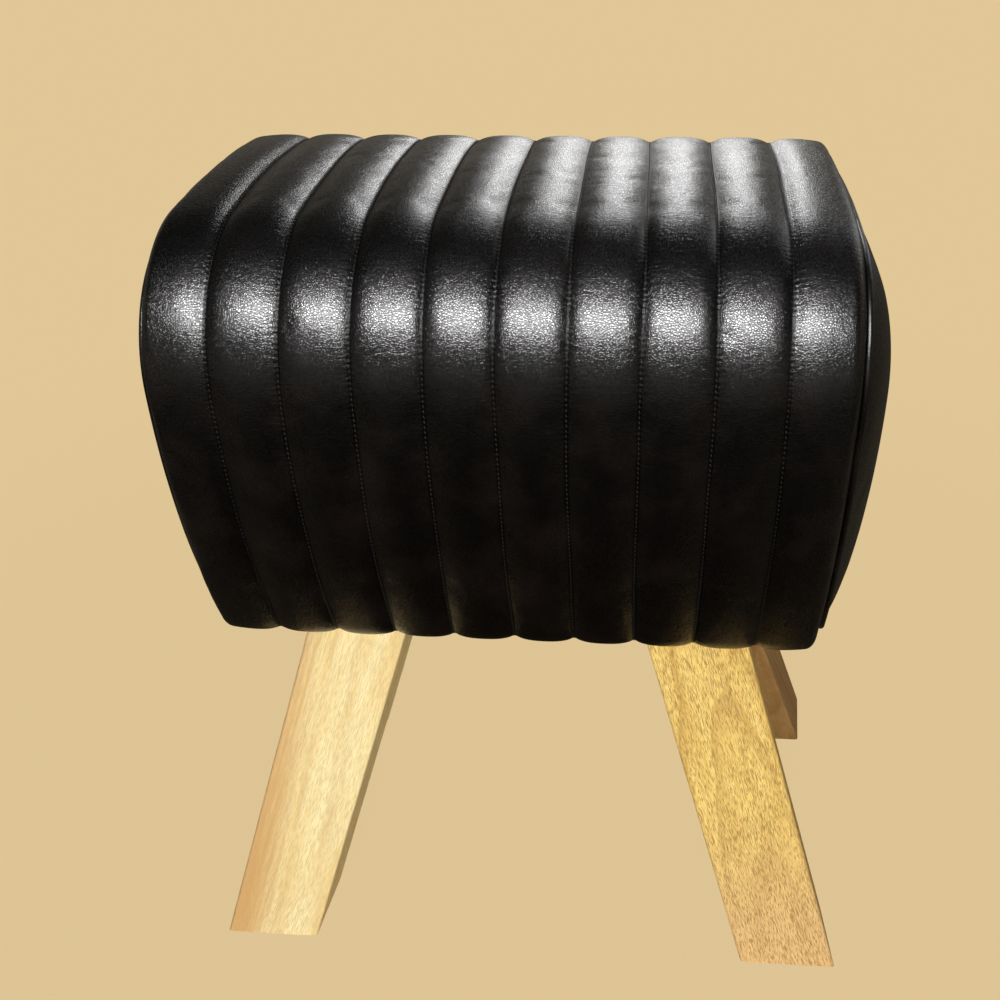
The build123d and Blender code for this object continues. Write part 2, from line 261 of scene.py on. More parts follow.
def make_ground():
    """Tan ground that keeps its colour to the eye and still takes the stool's shadow."""
    material, tree, paint = new_material("tan_ground")
    feed(tree, paint, {"Base Color": ground_colour, "Roughness": 0.9, "Specular IOR Level": 0.1})
    rays = add_node(tree, "ShaderNodeLightPath").outputs
    seen = calc(tree, "MAXIMUM", rays["Is Camera Ray"], rays["Is Glossy Ray"])
    seen = calc(tree, "MAXIMUM", seen, rays["Is Transmission Ray"])
    place = object_place(tree)
    own_light = fade(
        tree, length_of(tree, place), *shadow_reach, own_light_near_share, own_light_far_share
    )
    # Painted reflection for mirror rays, darkest as painted shade in front of the stool's middle.
    sideways = calc(tree, "ABSOLUTE", parts_of(tree, place)["X"])
    lit = fade(tree, sideways, *reflection_shade_reach, shape="LINEAR")
    painted_reflection = mixed(tree, lit, reflection_shade_colour, reflected_floor_colour)
    colour = mixed(tree, rays["Is Glossy Ray"], ground_colour, painted_reflection)
    glow = add_node(tree, "ShaderNodeEmission", {"Color": colour, "Strength": 1.0}).outputs[0]
    share = times(tree, seen, own_light)
    both = add_node(tree, "ShaderNodeMixShader", {0: share, 1: paint.outputs[0], 2: glow})
    output = next(node for node in tree.nodes if node.type == "OUTPUT_MATERIAL")
    feed(tree, output, {"Surface": both.outputs[0]})
    return material


def make_floor():
    """A large level sheet at the height of the feet."""
    mesh = bpy.data.meshes.new("floor")
    ways = ((-1, -1), (1, -1), (1, 1), (-1, 1))
    corners = [(x * floor_half_size, y * floor_half_size, 0) for x, y in ways]
    mesh.from_pydata(corners, [], [(0, 1, 2, 3)])
    mesh.materials.append(make_ground())
    floor = bpy.data.objects.new("floor", mesh)
    scene.collection.objects.link(floor)
    return floor


floor = make_floor()
print("Floor:", floor.name)

# %% [markdown]
# ## Light
# The shine on the leather says where the room's lights were. Each channel has a soft spot on
# its front shoulder, and a bright band along the top. A narrow lamp above the camera makes the
# spot, and it gives shine alone, so that the legs stay calm. A tall window behind the stool,
# with a pale wall under it, makes the band, and a dim wall behind on the right lifts the
# right-hand channels. The world is brown at the horizon and dark overhead, because straight
# up the room was dark. A wide fill at the camera's height lights the legs. It leaves no
# shine, because the leather in the photograph mirrors nothing there.

# %% Lamps and world
room_colours = (
    (0.0, (0.26, 0.23, 0.19, 1)),
    (0.26, (0.19, 0.17, 0.14, 1)),
    (0.46, (0.045, 0.040, 0.034, 1)),
    (0.9, (0.012, 0.012, 0.012, 1)),
)
lamp_plans_mm = {
    "shoulder_lamp": {
        "place": (-50, -750, 1220), "target": (0, -100, 450), "size": (950, 200),
        "strength": 41, "lights": False,
    },
    "back_window": {
        "place": (80, 2000, 1560), "target": (0, 0, 500), "size": (500, 1360), "strength": 6.0,
    },
    "back_wall": {
        "place": (60, 2000, 700), "target": (0, 0, 500), "size": (600, 400), "strength": 1.8,
    },
    "right_wall": {
        "place": (1500, 1700, 1500), "target": (100, 0, 500), "size": (1100, 1900), "strength": 1.1,
    },
    "front_fill": {
        "place": (100, -2300, 750), "target": (0, 0, 360), "size": (2400, 1000),
        "strength": 7.8, "shines": False,
    },
}


def soft_box(name, place, target, size, strength, shines=True, lights=True):
    """A rectangular lamp aimed at a point; it may leave out the shine or the plain light."""
    place, target = Vector(place) * MM, Vector(target) * MM
    data = bpy.data.lights.new(name, "AREA")
    data.shape = "RECTANGLE"
    data.size, data.size_y = size[0] * MM, size[1] * MM
    data.energy = strength * math.pi * data.size * data.size_y
    lamp = bpy.data.objects.new(name, data)
    scene.collection.objects.link(lamp)
    aim = (target - place).to_track_quat("-Z", "Y")
    lamp.matrix_world = Matrix.Translation(place) @ aim.to_matrix().to_4x4()
    lamp.visible_camera = False
    lamp.visible_glossy = shines
    lamp.visible_diffuse = lights
    return lamp


def fill_ramp(ramp, stops):
    """Gives a colour ramp its stops; it comes with a first and a last one."""
    for element, (position, colour) in zip(ramp.elements, (stops[0], stops[-1])):
        element.position = position
        element.color = colour
    for position, colour in stops[1:-1]:
        ramp.elements.new(position).color = colour


def room_light():
    """World light by height over the horizon, dark overhead; the camera sees plain tan."""
    world = bpy.data.worlds.new("room")
    world.use_nodes = True
    scene.world = world
    tree = world.node_tree
    back = next(node for node in tree.nodes if node.type == "BACKGROUND")
    way = add_node(tree, "ShaderNodeTexCoord").outputs["Generated"]
    ramp = add_node(tree, "ShaderNodeValToRGB", {0: parts_of(tree, way)["Z"]})
    fill_ramp(ramp.color_ramp, room_colours)
    rays = add_node(tree, "ShaderNodeLightPath").outputs
    colour = mixed(tree, rays["Is Camera Ray"], ramp.outputs["Color"], ground_colour)
    feed(tree, back, {"Color": colour})
    return world


room_light()
lamps = [soft_box(name, **plan) for name, plan in lamp_plans_mm.items()]
print("Lamps:", ", ".join(lamp.name for lamp in lamps))

# %% [markdown]
# ## Effects that materials share
# Leather and wood each have a pattern that several materials use, so each pattern is built
# once, as a node group with named inputs and outputs. This helper starts such a group.

# %% Group helper


def new_group(name, inputs, outputs):
    """An empty shader node group; inputs give each socket's usual value."""
    tree = bpy.data.node_groups.new(name, "ShaderNodeTree")
    for title, value in inputs.items():
        form = "NodeSocketVector" if isinstance(value, tuple) else "NodeSocketFloat"
        socket = tree.interface.new_socket(name=title, in_out="INPUT", socket_type=form)
        socket.default_value = value
    for title in outputs:
        tree.interface.new_socket(name=title, in_out="OUTPUT", socket_type="NodeSocketFloat")
    given = tree.nodes.new("NodeGroupInput").outputs
    return tree, given, tree.nodes.new("NodeGroupOutput")


print("Group helper ready")

# %% [markdown]
# ## Leather grain
# Close up, the leather is a field of pebbles about a millimetre wide with fine valleys between
# them, and here and there a crease. A cell pattern's distance to its edge gives such valleys.
# It reads Object coordinates in millimetres, because those don't stretch where the leather
# bends.

# %% Leather grain
valley_width_share = 0.30
crease_half_width_share = 0.012


def make_leather_grain():
    """Node group: pebbles, creases, soft swells and slow changes of tone."""
    tree, given, wanted = new_group(
        "leather_grain",
        {"Place": (0.0, 0.0, 0.0), "Pebble size in mm": 1.5, "Crease spacing in mm": 34.0},
        ["Pebbles", "Creases", "Swells", "Tone"],
    )
    place = in_mm(tree, given["Place"])
    cells = add_node(tree, "ShaderNodeTexVoronoi", {
        "Vector": shaken(tree, place, 0.5, 1.4),
        "Scale": calc(tree, "DIVIDE", 1.0, given["Pebble size in mm"]),
    }, feature="DISTANCE_TO_EDGE").outputs["Distance"]
    spacing = calc(tree, "DIVIDE", 1.0, given["Crease spacing in mm"])
    folds = noise(tree, shaken(tree, place, 0.12, 5.0), spacing, 0.5)
    off_fold = calc(tree, "ABSOLUTE", calc(tree, "SUBTRACT", folds, 0.5))
    lines = fade(tree, off_fold, 0.0, crease_half_width_share, 1.0, 0.0)
    where = fade(tree, noise(tree, place, 0.04), 0.50, 0.62)
    feed(tree, wanted, {
        "Pebbles": fade(tree, cells, 0.0, valley_width_share),
        "Creases": times(tree, lines, where),
        "Swells": noise(tree, place, 0.09),
        "Tone": noise(tree, place, 0.035, 4.0),
    })
    return tree


leather_grain = make_leather_grain()
print("Group:", leather_grain.name)

# %% [markdown]
# ## Puckers along a seam
# Each stitch pulls the leather down, so small puckers stand between the stitches and run out
# a few millimetres from the seam, and painted shade darkens the needle pits. The pattern reads
# the UV map, whose numbers are metres along and across the leather, so it follows every seam
# round the cushion.

# %% Seam puckers
pucker_reach_mm = (0.4, 3.2)
fold_reach_mm = (1.0, 11.0)
# How far the painted shade of the needle pits reaches from a seam.
pit_shade_reach_mm = (0.3, 1.1)
line_reach_mm = (0.5, 2.0)
pucker_height = -0.35
fold_height = 1.6


def make_seam_pull():
    """Node group: puckers, painted pit shade and the drawn-in line of evenly spaced seams."""
    tree, given, wanted = new_group(
        "seam_pull",
        {"Flat place": (0.0, 0.0, 0.0), "Seam spacing in mm": 35.0, "Stitch pitch in mm": 2.75},
        ["Puckers", "Pit shade", "Line"],
    )
    flat = in_mm(tree, given["Flat place"])
    parts = parts_of(tree, flat)
    off_seam = calc(tree, "PINGPONG", parts["X"], times(tree, given["Seam spacing in mm"], 0.5))
    turns = calc(tree, "DIVIDE", parts["Y"], given["Stitch pitch in mm"])
    wave = calc(tree, "COSINE", times(tree, turns, 2 * math.pi))
    near = fade(tree, off_seam, *pucker_reach_mm, 1.0, 0.0)
    drawn = times(tree, times(tree, wave, near), pucker_height)
    folds = noise(tree, stretched(tree, flat, 0.10, 0.55, 1.0), 1.0, 3.0)
    folds = calc(tree, "SUBTRACT", folds, 0.5)
    wide = fade(tree, off_seam, *fold_reach_mm, 1.0, 0.0)
    folds = times(tree, times(tree, folds, wide), fold_height)
    close = fade(tree, off_seam, *pit_shade_reach_mm, 1.0, 0.0)
    feed(tree, wanted, {
        "Puckers": calc(tree, "ADD", drawn, folds),
        # Painted shade in the needle pits, one at each stitch.
        "Pit shade": times(tree, close, fade(tree, wave, 0.2, 0.9)),
        "Line": fade(tree, off_seam, *line_reach_mm, 1.0, 0.0),
    })
    return tree


seam_pull = make_seam_pull()
print("Group:", seam_pull.name)

# %% [markdown]
# ## Black leather
# The leather is nearly black, with brown in it where it is worn. What the eye sees is mostly
# its shine: a finish that was wiped over the hide and stays on the tops of the pebbles, so that
# a dark net shows between them. The shader's coat stands for that finish. Its weight follows
# the pebbles and fades along the seams, and the hide below has hardly a shine of its own. The
# cover also has the puckers of its seams, and fine wrinkles across its channels where it bends
# over the shoulders. The piping is the same hide, pulled tight over a cord.

# %% Leather materials
black_dye = (0.0010, 0.0007, 0.0007, 1)
brown_wear = (0.0045, 0.0028, 0.0025, 1)
# The colour of the painted shade in the needle pits.
pit_shade_colour = (0.0006, 0.0005, 0.0004, 1)
swell_depth = 0.16 * MM
wrinkle_depth = 0.13 * MM
stretch_depth = 0.07 * MM
valley_finish_share = 0.38
seam_finish_share = 0.20
finish_index = 1.7
hide_roughness = (0.38, 0.46)
hide_shine = 0.08
wrap_middle_mm = 355
bend_start_mm = (-15, 30)
bend_end_mm = (95, 125)


def bend_wrinkles(tree, flat):
    """Fine wrinkles across the channels, strongest where the leather turns over a shoulder."""
    flat = in_mm(tree, flat)
    off_middle = calc(tree, "SUBTRACT", parts_of(tree, flat)["Y"], wrap_middle_mm)
    off_middle = calc(tree, "ABSOLUTE", off_middle)
    inside = fade(tree, off_middle, *bend_start_mm)
    outside = fade(tree, off_middle, *bend_end_mm, 1.0, 0.0)
    waves = noise(tree, stretched(tree, shaken(tree, flat, 0.1, 2.0), 0.10, 0.60, 1.0), 1.0, 4.0)
    return times(tree, waves, times(tree, inside, outside))


def stretch_lines(tree, flat):
    """Faint lines along the channels, where the leather was pulled tight round the cushion."""
    loose = shaken(tree, in_mm(tree, flat), 0.08, 3.0)
    return noise(tree, stretched(tree, loose, 0.45, 0.05, 1.0), 1.0, 3.0)


def make_leather(name, roughness, pebble_mm, pebble_depth, crease_depth, pucker_depth=0.0):
    """Black leather; pucker_depth is for pieces whose UV map follows the seams."""
    material, tree, shader = new_material(name)
    grain = add_node(tree, "ShaderNodeGroup", {
        "Place": object_place(tree),
        "Pebble size in mm": pebble_mm,
    }, node_tree=leather_grain).outputs
    colour = mixed(tree, fade(tree, grain["Tone"], 0.42, 0.75), black_dye, brown_wear)
    finish = fade(tree, grain["Pebbles"], 0.0, 1.0, valley_finish_share, 1.0)
    relief = bump(tree, grain["Swells"], swell_depth)
    relief = bump(tree, grain["Creases"], -crease_depth, relief)
    if pucker_depth:
        flat = add_node(tree, "ShaderNodeUVMap", uv_map="flat").outputs[0]
        pull = add_node(tree, "ShaderNodeGroup", {"Flat place": flat}, node_tree=seam_pull).outputs
        # Painted shade: the needle pits darken the leather's colour.
        colour = mixed(tree, pull["Pit shade"], colour, pit_shade_colour)
        finish = times(tree, finish, fade(tree, pull["Line"], 0.0, 1.0, 1.0, seam_finish_share))
        relief = bump(tree, stretch_lines(tree, flat), stretch_depth, relief)
        relief = bump(tree, bend_wrinkles(tree, flat), wrinkle_depth, relief)
        relief = bump(tree, pull["Puckers"], pucker_depth, relief)
    relief = bump(tree, grain["Pebbles"], pebble_depth, relief)
    feed(tree, shader, {
        "Base Color": colour,
        "Normal": relief,
        "Roughness": uneven(tree, grain["Tone"], *hide_roughness),
        "Specular IOR Level": hide_shine,
        "Coat Weight": finish,
        "Coat Normal": relief,
        "Coat Roughness": roughness,
        "Coat IOR": finish_index,
    })
    return material


leathers = {
    "cover": make_leather(
        "black_leather", roughness=0.25, pebble_mm=1.15, pebble_depth=0.045 * MM,
        crease_depth=0.05 * MM, pucker_depth=0.12 * MM,
    ),
    "panel": make_leather(
        "panel_leather", roughness=0.25, pebble_mm=1.1, pebble_depth=0.045 * MM, crease_depth=0.05 * MM
    ),
    "piping": make_leather(
        "piping_leather", roughness=0.30, pebble_mm=1.1, pebble_depth=0.03 * MM, crease_depth=0.03 * MM
    ),
}
print("Leathers:", ", ".join(material.name for material in leathers.values()))

# %% [markdown]
# ## Thread
# The seams are sewn with a black bonded thread. It is a little paler than the leather, so its
# stitches show as a row of small dots.

# %% Thread
thread_dark = (0.006, 0.006, 0.005, 1)
thread_pale = (0.022, 0.021, 0.019, 1)
thread_depth = 0.05 * MM
thread_roughness = (0.65, 0.80)


def make_thread():
    """Twisted black thread."""
    material, tree, shader = new_material("black_thread")
    strands = noise(tree, stretched(tree, object_place(tree), 4000, 4000, 4000), 1.0)
    feed(tree, shader, {
        "Base Color": mixed(tree, strands, thread_dark, thread_pale),
        "Normal": bump(tree, strands, thread_depth),
        "Roughness": uneven(tree, strands, *thread_roughness),
        "Specular IOR Level": 0.25,
    })
    return material


thread = make_thread()
print("Thread:", thread.name)

# %% [markdown]
# ## Wood
# Each leg is a plain sawn board of a pale, coarse hardwood. Three things make its figure:
# growth rings, cut at a slant into long arches; short dark flecks, which are the open pores;
# and broad streaks of colour along the grain. The pattern is solid, like the wood itself, so
# all faces of a leg agree at their edges, and the foot shows end grain.

# %% Wood grain
ring_start_share = 0.55
ring_peak_share = 0.92


def make_wood_grain():
    """Node group: rings round the Z axis, and flecks, fibres and streaks along it."""
    tree, given, wanted = new_group(
        "wood_grain",
        {"Place": (0.0, 0.0, 0.0), "Ring spacing in mm": 9.0, "Fleck length in mm": 8.0},
        ["Rings", "Flecks", "Fibres", "Streaks"],
    )
    place = in_mm(tree, given["Place"])
    slow = stretched(tree, place, 1.0, 1.0, 0.22)
    across = stretched(tree, shaken(tree, slow, 0.035, 10.0), 1.0, 1.0, 0.0)
    count = calc(tree, "DIVIDE", length_of(tree, across), given["Ring spacing in mm"])
    ring = calc(tree, "FRACT", count)
    rising = fade(tree, ring, ring_start_share, ring_peak_share)
    falling = fade(tree, ring, ring_peak_share, 1.0, 1.0, 0.0)
    per_mm = calc(tree, "DIVIDE", 1.0, given["Fleck length in mm"])
    squeeze = joined(tree, {0: 2.0, 1: 2.0, 2: per_mm})
    specks = noise(tree, vector_step(tree, "MULTIPLY", place, squeeze), 1.0)
    crowd = times(tree, noise(tree, slow, 0.09), 0.18)
    feed(tree, wanted, {
        "Rings": times(tree, rising, falling),
        "Flecks": fade(tree, calc(tree, "ADD", specks, crowd), 0.53, 0.76),
        "Fibres": noise(tree, stretched(tree, place, 1.5, 1.5, 0.05), 1.0, 3.0),
        "Streaks": noise(tree, stretched(tree, place, 0.11, 0.11, 0.006), 1.0, 4.0),
    })
    return tree


wood_grain = make_wood_grain()
print("Group:", wood_grain.name)

# %% [markdown]
# ## The legs
# The four legs came from different boards: the front left one is cream with a red-brown streak
# down its outer edge, the front right one is golden and full of flecks. The rear right one stands
# in shade, and its darker brown colours are painted shade. Each gets the shared grain with its
# own colours. A Mapping node turns the pattern into the leaning leg, so that the grain runs along
# the board. The tree's middle lies near the board or far from it, which makes the rings arched or
# straight.

# %% Leg woods
foot_along = 181 * MM
foot_across = 109 * MM
lean_along = 0.321
lean_across = 0.304
fray_depth = 30 * MM
pore_depth = 0.12 * MM
streak_depth = 0.25 * MM
stain_share = 0.8
wood_roughness = (0.48, 0.62)
cream = (0.97, 0.86, 0.48, 1), (0.90, 0.72, 0.345, 1), (0.70, 0.48, 0.205, 1)
golden = (0.93, 0.70, 0.225, 1), (0.84, 0.58, 0.165, 1), (0.58, 0.35, 0.09, 1)
# Painted shade: darker colours for the rear right leg, which stands in shade.
brown = (0.52, 0.32, 0.13, 1), (0.40, 0.23, 0.085, 1), (0.26, 0.13, 0.045, 1)
pale_fleck = (0.60, 0.40, 0.18, 1)
dark_fleck = (0.38, 0.21, 0.055, 1)
red_stain = (0.60, 0.31, 0.10, 1)
pink_stain = (0.79, 0.51, 0.24, 1)
leg_plans = {
    "leg_front_left": {
        "name": "cream_wood", "sides": (-1, -1), "heart_mm": (60, 95, 0), "tilt": (0.05, 0.03, 0),
        "colours": (*cream, pale_fleck, red_stain), "shares": (0.25, 0.45, 0.35),
        "stain_slopes": (1, -0.08), "stain_mm": (6, 40),
    },
    "leg_front_right": {
        "name": "golden_wood", "sides": (1, -1), "heart_mm": (4, 3, 0), "tilt": (-0.085, 0, 0),
        "colours": (*golden, dark_fleck, pink_stain), "shares": (0.60, 0.90, 0.55),
        "stain_slopes": (0.2, -1), "stain_mm": (-120, 10),
    },
    "leg_rear_left": {
        "name": "pale_wood", "sides": (-1, 1), "heart_mm": (30, 80, 0), "tilt": (0.08, 0.02, 0),
        "colours": (*cream, pale_fleck, pink_stain), "shares": (0.4, 0.5, 0.35),
        "stain_slopes": (1, -0.1), "stain_mm": (28, 44),
    },
    # The rear right leg wears the darker colours as painted shade.
    "leg_rear_right": {
        "name": "shaded_brown_wood", "sides": (1, 1), "heart_mm": (10, 60, 0), "tilt": (0.10, 0.02, 0),
        "colours": (*brown, dark_fleck, red_stain), "shares": (0.5, 0.6, 0.5),
        "stain_slopes": (1, -0.1), "stain_mm": (30, 50),
    },
}


def board_place(tree, sides):
    """Coordinates that run across a leg's wide face, across its narrow one, and up it."""
    along_side, across_side = sides
    up = Vector((-lean_along * along_side, -lean_across * across_side, 1)).normalized()
    narrow = Vector((1, 0, 0)).cross(up).normalized()
    wide = up.cross(narrow).normalized() * -1
    turn = Matrix((wide, narrow, up))
    foot = Vector((foot_along * along_side, foot_across * across_side, 0))
    return turned_place(tree, object_place(tree), -(turn @ foot), turn.to_euler())


def stained_part(tree, own, slopes, start_and_end_mm):
    """Where a stain covers a board, with an edge frayed along the grain."""
    parts = parts_of(tree, own)
    edge = calc(tree, "ADD", times(tree, parts["X"], slopes[0]), times(tree, parts["Z"], slopes[1]))
    frayed = noise(tree, stretched(tree, own, 320, 320, 11), 1.0, 4.0)
    edge = calc(tree, "ADD", edge, times(tree, frayed, fray_depth))
    start, end = start_and_end_mm
    return fade(tree, edge, start * MM, end * MM)


def make_leg_wood(name, sides, heart_mm, tilt, colours, shares, stain_slopes, stain_mm):
    """Hardwood for one leg; heart_mm is where the tree's middle lies from the leg's axis."""
    ring_share, fleck_share, fibre_share = shares
    pale, deep, ring_colour, fleck_colour, stain_colour = colours
    material, tree, shader = new_material(name)
    own = board_place(tree, sides)
    sawn = turned_place(tree, own, Vector(heart_mm) * MM, tilt)
    grain = add_node(tree, "ShaderNodeGroup", {"Place": sawn}, node_tree=wood_grain).outputs
    colour = mixed(tree, fade(tree, grain["Streaks"], 0.36, 0.66), pale, deep)
    fibres = fade(tree, grain["Fibres"], 0.40, 0.70, 0.0, fibre_share)
    colour = mixed(tree, fibres, colour, ring_colour)
    colour = mixed(tree, times(tree, grain["Rings"], ring_share), colour, ring_colour)
    stained = stained_part(tree, own, stain_slopes, stain_mm)
    colour = mixed(tree, times(tree, stained, stain_share), colour, stain_colour)
    colour = mixed(tree, times(tree, grain["Flecks"], fleck_share), colour, fleck_colour)
    pores = bump(tree, grain["Flecks"], -pore_depth)
    feed(tree, shader, {
        "Base Color": colour,
        "Normal": bump(tree, grain["Streaks"], streak_depth, pores),
        "Roughness": uneven(tree, grain["Streaks"], *wood_roughness),
        "Specular IOR Level": 0.35,
    })
    return material


def finish_node(name, material):
    """Gives a CAD piece its material."""
    piece = nodes[name]
    if not piece.material_slots:
        piece.data.materials.append(material)
    for place in piece.material_slots:
        place.material = material


for leg_name, leg_plan in leg_plans.items():
    finish_node(leg_name, make_leg_wood(**leg_plan))
print("Legs finished:", len(leg_plans))

# %% [markdown]
# ## Materials inside the box
# Nobody sees the frame while the stool is whole, but it is there, and whoever takes the model
# apart should find plywood, pine, steel, foam and wadding. They are plain, each with its own
# pattern: timber shows its rings, foam and wadding their open cells, steel a faint cloud.

# %% Frame and padding materials
timber_heart = (30 * MM, 190 * MM, 0)
timber_depth = 0.1 * MM
timber_ring_share = 0.6
timber_fleck_share = 0.2
timber_roughness = (0.6, 0.75)
steel_depth = 0.03 * MM
steel_roughness = (0.28, 0.45)
birch_colours = (0.66, 0.50, 0.31, 1), (0.48, 0.32, 0.17, 1)
pine_colours = (0.72, 0.53, 0.29, 1), (0.50, 0.30, 0.12, 1)
foam_colours = (0.74, 0.62, 0.36, 1), (0.80, 0.70, 0.46, 1)
wadding_colours = (0.72, 0.72, 0.70, 1), (0.84, 0.84, 0.82, 1)
zinc_colours = (0.50, 0.49, 0.46, 1), (0.66, 0.66, 0.63, 1)


def make_timber(name, colours, ring_spacing_mm, turn):
    """Sawn softwood or plywood faces, grain along the stool."""
    pale, deep = colours
    material, tree, shader = new_material(name)
    grain = add_node(tree, "ShaderNodeGroup", {
        "Place": turned_place(tree, object_place(tree), timber_heart, turn),
        "Ring spacing in mm": ring_spacing_mm,
    }, node_tree=wood_grain).outputs
    colour = mixed(tree, times(tree, grain["Rings"], timber_ring_share), pale, deep)
    feed(tree, shader, {
        "Base Color": mixed(tree, times(tree, grain["Flecks"], timber_fleck_share), colour, deep),
        "Normal": bump(tree, grain["Rings"], timber_depth),
        "Roughness": uneven(tree, grain["Streaks"], *timber_roughness),
    })
    return material


def make_cells(name, colours, cell_mm, depth, roughness):
    """Foam or wadding: small open cells under a slow change of colour."""
    material, tree, shader = new_material(name)
    place = in_mm(tree, object_place(tree))
    cells = add_node(tree, "ShaderNodeTexVoronoi", {"Vector": place, "Scale": 1 / cell_mm})
    cloudy = noise(tree, place, 0.05, 3.0)
    feed(tree, shader, {
        "Base Color": mixed(tree, cloudy, *colours),
        "Normal": bump(tree, cells.outputs["Distance"], depth),
        "Roughness": uneven(tree, cloudy, roughness, roughness + 0.1),
    })
    return material


def make_steel():
    """Zinc-plated steel with a faint cloudy finish."""
    material, tree, shader = new_material("zinc_steel")
    cloudy = noise(tree, object_place(tree), 180.0, 3.0)
    feed(tree, shader, {
        "Base Color": mixed(tree, cloudy, *zinc_colours),
        "Normal": bump(tree, cloudy, steel_depth),
        "Roughness": uneven(tree, cloudy, *steel_roughness),
        "Metallic": 1.0,
    })
    return material


plywood = make_timber("birch_plywood", birch_colours, 6.0, turn=(0, math.pi / 2, 0))
pine = make_timber("pine", pine_colours, 4.0, turn=(0, math.pi / 2, 0.3))
foam = make_cells("yellow_foam", foam_colours, 1.1, depth=0.5 * MM, roughness=0.85)
wadding = make_cells("white_wadding", wadding_colours, 2.5, depth=0.8 * MM, roughness=0.8)
steel = make_steel()
frame_finishes = (
    (("end_board_left", "end_board_right", "front_board", "rear_board"), plywood, "plywood"),
    (("top_board", "base_board"), plywood, "plywood"),
    (("front_rail", "rear_rail", "corner_posts"), pine, "pine"),
    (("frame_screws", "leg_bolts", "leg_washers"), steel, "zinc_steel"),
)
for frame_pieces, frame_material, frame_slot in frame_finishes:
    for frame_piece in frame_pieces:
        finish_node(frame_piece, frame_material)
print("Frame pieces finished:", sum(len(pieces) for pieces, _, _ in frame_finishes))

# %% [markdown]
# ## The outline of the cushion
# Seen from the end, the sewn seams lie on seven arcs that run smoothly into each other: heel,
# bowed front, shoulder, crown, and the same again down the back. Points could be typed in, but
# arcs worked out from a few sizes stay smooth, and any place is then found by its distance
# from the front hem.

# %% Outline of the cushion
seat_height = 506 * MM
cushion_bottom = 264 * MM
half_depth = 137.5 * MM
widest_height = 399 * MM
side_bow_radius = 355 * MM
crown_radius = 650 * MM
shoulder_radius = 79.5 * MM
heel_radius = 18.5 * MM
hem_tuck = 24 * MM


def shoulder_centre(side, top):
    """The centre of the arc that joins the bowed front and the crown."""
    to_side = side_bow_radius - shoulder_radius
    to_top = crown_radius - shoulder_radius
    gap = math.dist(side, top)
    run = (to_side**2 - to_top**2 + gap**2) / (2 * gap)
    offset = math.sqrt(to_side**2 - run**2)
    way = ((top[0] - side[0]) / gap, (top[1] - side[1]) / gap)
    foot = (side[0] + way[0] * run, side[1] + way[1] * run)
    return min(
        (foot[0] - way[1] * offset, foot[1] + way[0] * offset),
        (foot[0] + way[1] * offset, foot[1] - way[0] * offset),
    )


def bearing(centre, point):
    """The direction of a point from a centre, as an angle below zero."""
    angle = math.atan2(point[1] - centre[1], point[0] - centre[0])
    return angle if angle < 0 else angle - 2 * math.pi


def mirrored_angle(angle):
    """The angle on the rear half that matches one on the front half."""
    return -3 * math.pi - angle


def outline_arcs():
    """Centre, radius and both angles of each arc, from the front hem to the rear one."""
    side = (side_bow_radius - half_depth, widest_height)
    top = (0, seat_height - crown_radius)
    shoulder = shoulder_centre(side, top)
    heel_height = cushion_bottom + heel_radius
    heel_reach = math.sqrt((side_bow_radius - heel_radius) ** 2 - (widest_height - heel_height) ** 2)
    heel = (side[0] - heel_reach, heel_height)
    angles = [-math.pi / 2, bearing(side, heel), bearing(side, shoulder), bearing(top, shoulder)]
    front = [
        (heel, heel_radius, angles[0], angles[1]),
        (side, side_bow_radius, angles[1], angles[2]),
        (shoulder, shoulder_radius, angles[2], angles[3]),
    ]
    crown = (top, crown_radius, angles[3], mirrored_angle(angles[3]))
    rear = [
        ((-centre[0], centre[1]), radius, mirrored_angle(last), mirrored_angle(first))
        for centre, radius, first, last in reversed(front)
    ]
    return front + [crown] + rear


def arc_length(arc):
    """How long an arc is."""
    _, radius, first, last = arc
    return radius * (first - last)


arcs = outline_arcs()
outline_length = sum(arc_length(arc) for arc in arcs)
heel_depth = arcs[0][0][0]


def outline_points(distances):
    """Places (depth, height) and outward directions at distances from the start of the heel."""
    distances = np.asarray(distances, float)
    past_end = distances - outline_length
    places = np.full((len(distances), 2), cushion_bottom)
    places[:, 0] = np.where(past_end > 0, -heel_depth - past_end, heel_depth - distances)
    outward = np.tile((0.0, -1.0), (len(distances), 1))
    start = 0.0
    for arc in arcs:
        centre, radius, first, _ = arc
        length = arc_length(arc)
        here = (distances >= start) & (distances <= start + length)
        angle = first - (distances[here] - start) / radius
        outward[here] = np.column_stack((np.cos(angle), np.sin(angle)))
        places[here] = np.array(centre) + radius * outward[here]
        start += length
    return places, outward


print("Leather from hem to hem in mm:", round((outline_length + 2 * hem_tuck) / MM))

# %% [markdown]
# ## Grids
# Every leather piece starts as a grid of points, because a cloth simulation works best on
# even four-sided faces. One helper turns a grid of points into a mesh object. It also stores
# how far each point lies along and across the leather, in metres, as the piece's UV map, so
# that stitch marks can follow the seams whatever shape the leather takes.

# %% Grid helper


def grid_faces(rows, columns, keep=None):
    """Four-sided faces between neighbouring points of a grid."""
    faces = []
    for row in range(rows - 1):
        for column in range(columns - 1):
            if keep is None or keep[row][column]:
                corner = row * columns + column
                faces.append((corner, corner + 1, corner + columns + 1, corner + columns))
    return faces


